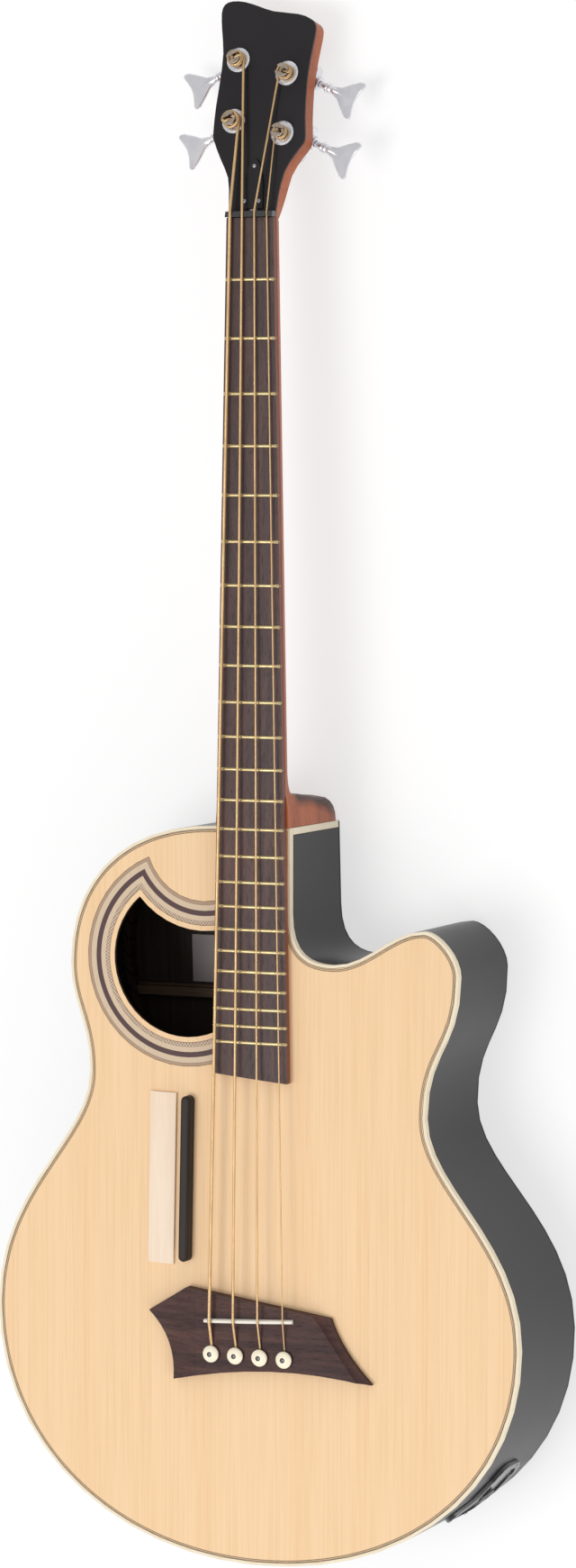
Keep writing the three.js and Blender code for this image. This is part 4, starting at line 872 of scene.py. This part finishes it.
fret_count = 24
board_top = 0.0085
board_bottom = 0.0025
nut_half = 0.02015
last_fret_half = 0.03215
camber = 0.38
fretted_length = scale_length * 0.75
board_end_bass = scale_length / 4 - 0.0254
board_end_treble = scale_length / 4 - 0.0314
board_start = scale_length - gap
board_rows = 60
board_columns = 12


def board_half(y):
    """Half the width of the fingerboard at a distance from the saddle."""
    return nut_half + (last_fret_half - nut_half) * (scale_length - y) / fretted_length


def board_wood_grain(place):
    """Rosewood, redder on the two sawn edges."""
    top = on_playing(place)
    drawn = rosewood_grain(0)(place)
    across = top.node("ShaderNodeSeparateXYZ", {}, {0: top})
    along = top.node("ShaderNodeSeparateXYZ", {}, {0: top}, out=1)
    half = nut_half + (scale_length - along) * ((last_fret_half - nut_half) / fretted_length)
    side = (across.sum("ABSOLUTE", across) - half).between(-0.0005, 0.0)
    drawn["Base Color"] = side.mix(drawn["Base Color"], (0.16, 0.06, 0.04, 1))
    return drawn


board_wood = finish("board_rosewood", board_wood_grain, specular_ior_level=0.5)
board_rings = []
for row in range(board_rows + 1):
    share = row / board_rows
    ring = []
    for side in (-1, 1):
        end = board_end_bass if side < 0 else board_end_treble
        y = end + (board_start - end) * share
        ring.append(playing @ Vector((side * board_half(y), y, board_bottom)))
    for step in range(board_columns + 1):
        across = 1 - 2 * step / board_columns
        end = board_end_treble + (board_end_bass - board_end_treble) * (1 - across) / 2
        y = end + (board_start - end) * share
        x = across * board_half(y)
        ring.append(playing @ Vector((x, y, board_top - x * x / (2 * camber))))
    board_rings.append(ring)
board = mesh_piece("board", *lofted(board_rings), board_wood, "instrument", "rosewood", edge=0.0004)
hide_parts("fingerboard")


def brass_wear(place):
    wear = place.stretched((0.3, 1, 1)).noise(700, 3).between(0.35, 0.7)
    return {
        "Base Color": wear.mix((0.66, 0.53, 0.29, 1), (0.57, 0.45, 0.24, 1)),
        "Roughness": 0.34 + wear * 0.14,
    }


brass = finish("fret_brass", brass_wear, metallic=1.0)
fret_width = 0.0029
fret_rise = 0.00125
fret_sunk = 0.0001
fret_inset = 0.0003
fret_bevel = 0.0011
fret_steps = 6
tang_half = 0.0003
tang_proud = 0.00004
tang_depths = (0.0035, 0.0013)
crown = [math.radians(a) for a in (0, 25, 50, 75, 105, 130, 155, 180)]
for number in range(1, fret_count + 1):
    y = scale_length * 2 ** (-number / 12)
    half = board_half(y) - fret_inset
    rings = []
    for step in range(-fret_steps, fret_steps + 1):
        slices = [(fret_bevel, 1.0)]
        if abs(step) == fret_steps:
            slices.append((0.0, 0.25))
        for inner, rise in slices:
            x = (half - inner) * step / fret_steps
            base = board_top - x * x / (2 * camber) - fret_sunk
            ring = []
            for angle in crown:
                z = base + fret_rise * rise * math.sin(angle)
                ring.append(playing @ Vector((x, y + 0.5 * fret_width * math.cos(angle), z)))
            rings.append((x, ring))
    rings.sort(key=lambda item: item[0])
    fret = lofted([ring for _, ring in rings])
    mesh_piece("fret_%02d" % number, *fret, brass, "instrument", "steel", crease=60)
    tang = board_half(y) + tang_proud
    low, high = y - tang_half, y + tang_half
    corners = [(-tang, low), (tang, low), (tang, high), (-tang, high)]
    tang_rings = [
        [playing @ Vector((*corner, board_top - depth)) for corner in corners]
        for depth in tang_depths
    ]
    mesh_piece("fret_tang_%02d" % number, *lofted(tang_rings), brass, "instrument", "steel")


# The nut: glossy black synthetic, glued in its seat between the fingerboard and the headstock.
# Its notches space the strings, and the jack plate is moulded of the same black.
def black_plastic(place):
    cloud = place.noise(200, 3)
    return {
        "Base Color": cloud.mix((0.02, 0.02, 0.021, 1), (0.035, 0.034, 0.036, 1)),
        "Roughness": 0.24 + cloud * 0.14,
    }


gloss_black = finish("gloss_black", black_plastic, coat_weight=0.4, coat_roughness=0.1)
dressed("nut", gloss_black, edge=0.0003)

# The headstock: a black lacquered veneer glued over the mahogany blank and bored for the posts.
# A black cover is screwed over the pocket of the truss rod, behind the nut.
head_black = finish("head_black", black_lacquer, specular_ior_level=0.23)
dressed("headstock_face", head_black, edge=0.0005)
dressed("truss_rod_cover", head_black, edge=0.0004)


# The tuners: die-cast housings screwed on behind, bushings, turned posts and cast fishtail keys,
# all in satin chrome. Each post turns with its key and is rubbed dull where its string is wound.
def satin_chrome(place):
    wipe = place.noise(90, 3).between(0.3, 0.7)
    grit = place.noise(3000, 2)
    return {
        "Base Color": wipe.mix((0.86, 0.86, 0.89, 1), (0.70, 0.70, 0.74, 1)),
        "Roughness": 0.24 + wipe * 0.08 + grit * 0.05,
    }


def worn_chrome(place):
    """The posts' plating, rubbed dull and warm where the strings are wound on."""
    rub = place.noise(220, 3).between(0.3, 0.7)
    return {
        "Base Color": rub.mix((0.52, 0.44, 0.36, 1), (0.36, 0.29, 0.22, 1)),
        "Roughness": 0.3 + rub * 0.1,
    }


chrome = finish("satin_chrome", satin_chrome, metallic=1.0)
post_chrome = finish("post_chrome", worn_chrome, metallic=1.0)
for name in string_names:
    dressed("tuner_bushing_" + name, chrome, sharp=40)
    dressed("tuner_housing_" + name, chrome, sharp=40, edge=0.0005)
    post, key = "post_" + name, "key_" + name
    dressed("tuner_" + post, post_chrome, body=post, sharp=40, edge=0.0002)
    dressed("tuner_" + key, chrome, body=key, sharp=50, edge=0.0008)


# The strings: steel cores wrapped in bronze wire. Each is held by its ball under the bridge plate,
# bends over the saddle and the nut, winds round its post and ends in the slot of the post.
string_radii = {"e": 0.00133, "a": 0.00108, "d": 0.00083, "g": 0.00057}
string_hole_y = -0.02857
ball_level = -0.009
hole_edge = 0.0064
hole_bend = 0.0035
bend_steps = 8
saddle_middle = (0.0006, -0.0055)
saddle_skew = math.radians(3.28)
saddle_crown = 0.0145
nut_spread = 0.031
nut_lift = 0.0015
post_places = {"e": (-1, 0.0720), "a": (-1, 0.1210), "d": (1, 0.1091), "g": (1, 0.0613)}
post_x = 0.0213
post_radius = 0.0043
winding_turns = {"e": 1.5, "a": 2, "d": 2.5, "g": 3}
winding_level = 0.0026
winding_space = 0.0004
loop_steps = 48
end_steps = 6
end_bend = 1.3
end_drop = 0.005


def bronze_wrap(place):
    inputs = {"Vector": place, "Scale": 628.0, "Distortion": 0.3}
    wrap = place.node("ShaderNodeTexWave", {"bands_direction": "Y"}, inputs)
    tone = place.noise(40, 2).between(0.3, 0.7)
    return {
        "Base Color": tone.mix((0.74, 0.50, 0.26, 1), (0.62, 0.41, 0.21, 1)),
        "Roughness": 0.34 + tone * 0.1,
        "Height": (wrap, 0.00003),
    }


def wire(name, points, radius, body, sides=12):
    """A round wire along a line of points, closed at both ends."""
    tangents = []
    for i in range(len(points)):
        ahead, behind = points[min(i + 1, len(points) - 1)], points[max(i - 1, 0)]
        tangents.append((ahead - behind).normalized())
    turns = [2 * math.pi * k / sides for k in range(sides)]
    side = Vector((1, 0, 0))
    rings = []
    for i, point in enumerate(points):
        if i:
            side = tangents[i - 1].rotation_difference(tangents[i]) @ side
        side = (side - tangents[i] * side.dot(tangents[i])).normalized()
        up = tangents[i].cross(side)
        ring = []
        for angle in turns:
            out = side * (radius * math.cos(angle))
            ring.append(point + out + up * (radius * math.sin(angle)))
        rings.append(ring)
    return mesh_piece(name, *lofted(rings), bronze, body, "bronze", crease=60)


def string_line(name, index):
    """The string's way from the ball to the nut, in the playing frame."""
    radius = string_radii[name]
    spread = index / 3 - 0.5
    x = saddle_spread * spread
    saddle_y = saddle_middle[1] + (x - saddle_middle[0]) * math.tan(saddle_skew)
    saddle = Vector((x, saddle_y, saddle_crown + radius - x * x / (2 * camber)))
    nut_x = nut_spread * spread
    nut_z = board_top + nut_lift + radius - nut_x * nut_x / (2 * camber)
    climb = saddle.z - hole_edge - hole_bend
    rise = math.atan2(climb, saddle.y - string_hole_y - hole_bend)
    points = [Vector((x, string_hole_y, ball_level))]
    for i in range(bend_steps + 1):
        angle = (math.pi / 2 - rise) * i / bend_steps
        y = string_hole_y + hole_bend * (1 - math.cos(angle))
        points.append(Vector((x, y, hole_edge + hole_bend * math.sin(angle))))
    points.append(saddle)
    points.append(Vector((nut_x, scale_length, nut_z)))
    points.append(Vector((nut_x, nut_back + gap, nut_z)))
    return points


def winding(name, leave):
    """The turns on the post and the end that goes into it, in the head's frame."""
    radius = string_radii[name]
    way, along = post_places[name]
    reach = post_radius + gap + radius
    start = Vector((leave.x - way * post_x, leave.y - along))
    first = math.atan2(start.y, start.x) - way * math.acos(reach / start.length)
    base = winding_level + radius
    pitch = 2 * radius + winding_space

    def place(angle, distance, height):
        x = way * post_x + distance * math.cos(angle)
        return Vector((x, along + distance * math.sin(angle), height))

    steps = round(winding_turns[name] * loop_steps)
    loops = []
    for i in range(steps + 1):
        turned_by = i / loop_steps
        angle = first - way * turned_by * 2 * math.pi
        loops.append(place(angle, reach, base + pitch * turned_by))
    top = loops[-1].z
    bend = radius * end_bend
    last = first - way * winding_turns[name] * 2 * math.pi
    aside = math.asin(bend / (reach - bend))
    slot_angle = last - way * aside
    middle = place(last, reach - bend, top)
    end = [loops[-1]]
    for i in range(1, end_steps + 1):
        angle = last - way * (math.pi / 2 + aside) * i / end_steps
        end.append(middle + Vector((bend * math.cos(angle), bend * math.sin(angle), 0)))
    for i in range(end_steps + 1):
        angle = math.pi / 2 * i / end_steps
        height = top - bend * (1 - math.cos(angle))
        end.append(place(slot_angle, bend * (1 - math.sin(angle)), height))
    end.append(place(slot_angle, 0, top - end_drop))
    return loops, end


bronze = finish("bronze_wrap", bronze_wrap, metallic=0.9)
ball_outline = [
    (0, -0.002), (0.0017, -0.002), (0.0022, -0.0015), (0.0022, 0.0015), (0.0017, 0.002), (0, 0.002),
]
ball_turn = Matrix.Rotation(math.pi / 2, 4, "Y")
for index, name in enumerate(string_names):
    line = [playing @ point for point in string_line(name, index)]
    loops, end = winding(name, head.inverted() @ line[-1])
    line += [head @ point for point in loops]
    strung = wire("strung_" + name, line, string_radii[name], "instrument")
    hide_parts("string_" + name)
    end = [head @ point for point in end]
    wire("string_end_" + name, end, string_radii[name], "post_" + name)
    ball_spot = (saddle_spread * (index / 3 - 0.5), string_hole_y, ball_level)
    ball_place = playing @ Matrix.Translation(ball_spot) @ ball_turn
    turned("string_ball_" + name, ball_outline, ball_place, brass, "instrument", sides=24)

# A blank sheet of paper glued to the back under the soundhole, as the photograph shows one.
# Its surface cockles a little where the glue dried.
paper_left, paper_right = -0.1012, -0.0252
paper_foot, paper_head = 0.2428, 0.2816
paper_under, paper_face = 0.00301, 0.00318
paper_cockle = 0.00005
paper_columns, paper_rows = 20, 12


def paper_fibre(place):
    fibre = place.noise(2400, 3).between(0.3, 0.7)
    stain = place.noise(45, 3).between(0.35, 0.75)
    return {
        "Base Color": (stain * 0.5).mix((0.42, 0.37, 0.37, 1), (0.32, 0.27, 0.25, 1)),
        "Roughness": 0.8 + fibre * 0.1,
        "Height": (fibre, 0.00002),
    }


paper_rings = []
for column in range(paper_columns + 1):
    x = paper_left + (paper_right - paper_left) * column / paper_columns
    ring = [Vector((x, paper_foot, paper_under)), Vector((x, paper_head, paper_under))]
    for row in range(paper_rows, -1, -1):
        y = paper_foot + (paper_head - paper_foot) * row / paper_rows
        wave = math.sin(x * 240 + 1.3) * math.sin(y * 330)
        ring.append(Vector((x, y, paper_face + paper_cockle * wave)))
    paper_rings.append(ring)
paper = finish("paper", paper_fibre, specular_ior_level=0.2)
mesh_piece("paper_sheet", *lofted(paper_rings), paper, "instrument", "bone", crease=50)

# The fittings on the ribs: a dished black jack plate with its socket, and a strap button.
# Small cross-head screws hold these, the cover on the headstock and the tuner housings.
dressed("jack_plate", gloss_black, edge=0.0005, sharp=40)
dressed("strap_button", chrome, sharp=50)


def black_nickel(place):
    brush = place.stretched((1, 1, 0.05)).noise(2600, 2).between(0.3, 0.7)
    return {
        "Base Color": brush.mix((0.17, 0.16, 0.165, 1), (0.11, 0.105, 0.11, 1)),
        "Roughness": 0.34 + brush * 0.14,
    }


nickel = finish("black_nickel", black_nickel, metallic=1.0)
dressed("output_jack", nickel, edge=0.0002)


def cross_screw(name, place, radius):
    """A domed screw head with a cross recess, about the Z of place."""
    sides = 32
    form = bmesh.new()
    arm_reach, corner_reach = 0.56, 0.2
    cross = [arm_reach if k % 8 in (0, 1, 7) else corner_reach for k in range(sides)]
    levels = [([1.0] * sides, -0.1), ([1.0] * sides, 0.16), ([0.86] * sides, 0.34)]
    levels += [([0.68] * sides, 0.42), (cross, 0.46), (cross, 0.05)]
    rings = []
    for shares, height in levels:
        ring = []
        for k, share in enumerate(shares):
            angle = 2 * math.pi * k / sides
            reach = radius * share
            corner = Vector((reach * math.cos(angle), reach * math.sin(angle), radius * height))
            ring.append(form.verts.new(place @ corner))
        rings.append(ring)
    for low, high in zip(rings, rings[1:]):
        for k in range(sides):
            following = (k + 1) % sides
            form.faces.new((low[k], low[following], high[following], high[k]))
    form.faces.new(rings[-1])
    form.faces.new(list(reversed(rings[0])))
    for face in form.faces:
        face.smooth = True
    mesh = bpy.data.meshes.new(name)
    form.to_mesh(mesh)
    form.free()
    mesh.set_sharp_from_angle(angle=math.radians(30))
    mesh.materials.append(screw_steel)
    piece = bpy.data.objects.new(name, mesh)
    scene.collection.objects.link(piece)
    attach(piece, "instrument")


screw_steel = finish("screw_steel", brushed_steel, metallic=1.0)
small_screw, button_screw, jack_screw = 0.0016, 0.0034, 0.0019
cover_face = 0.0019
cover_screws = ((0, 0.0355), (-0.0062, 0.0075), (0.0062, 0.0075))
for number, (x, y) in enumerate(cover_screws):
    spot = head @ Matrix.Translation((x, y, cover_face))
    cross_screw("cover_screw_%d" % number, spot, small_screw)

facing_back = Matrix.Rotation(math.pi, 4, "X")
key_angle = math.radians(25)
housing_face = -0.0282
housing_shift = 0.005 / 3
housing_screw_half = (0.0105, 0.0115)
for name in string_names:
    way, along = post_places[name]
    for number, (left, up) in enumerate(corner_signs):
        u = left * housing_screw_half[0]
        v = up * housing_screw_half[1] + housing_shift
        x = way * (post_x + u * math.cos(key_angle) + v * math.sin(key_angle))
        y = along - u * math.sin(key_angle) + v * math.cos(key_angle)
        spot = head @ Matrix.Translation((x, y, housing_face)) @ facing_back
        cross_screw("housing_screw_%s_%d" % (name, number), spot, small_screw)

button_length = 0.010
button_face = Matrix.Translation((0, tail_y - button_length, -depth_at_tail / 2))
button_spot = playing @ button_face @ Matrix.Rotation(math.pi / 2, 4, "X")
cross_screw("button_screw", button_spot, button_screw)

jack_share = 7 / 13
jack_depth = -0.064
jack_screw_share, jack_screw_rise = 0.097, 0.0165
plate_face = 0.0030


def bout_place(share, height, outward):
    """A place on the treble bout of the ribs, its Z out of the wood."""
    points = box_outline()[:outline_stops[1][4] + 1]
    along = share * (len(points) - 1)
    low = math.floor(along)
    point = points[low].lerp(points[low + 1], along - low)
    edge = (points[low + 1] - points[low]).normalized()
    out = Vector((edge.y, -edge.x, 0))
    turn = Matrix(((edge.x, 0, out.x), (edge.y, 0, out.y), (0, 1, 0))).to_4x4()
    return playing @ Matrix.Translation(Vector((*point, height)) + out * outward) @ turn


for number, (left, up) in enumerate(corner_signs):
    share = jack_share + left * jack_screw_share
    spot = bout_place(share, jack_depth + up * jack_screw_rise, plate_face)
    cross_screw("jack_screw_%d" % number, spot, jack_screw)
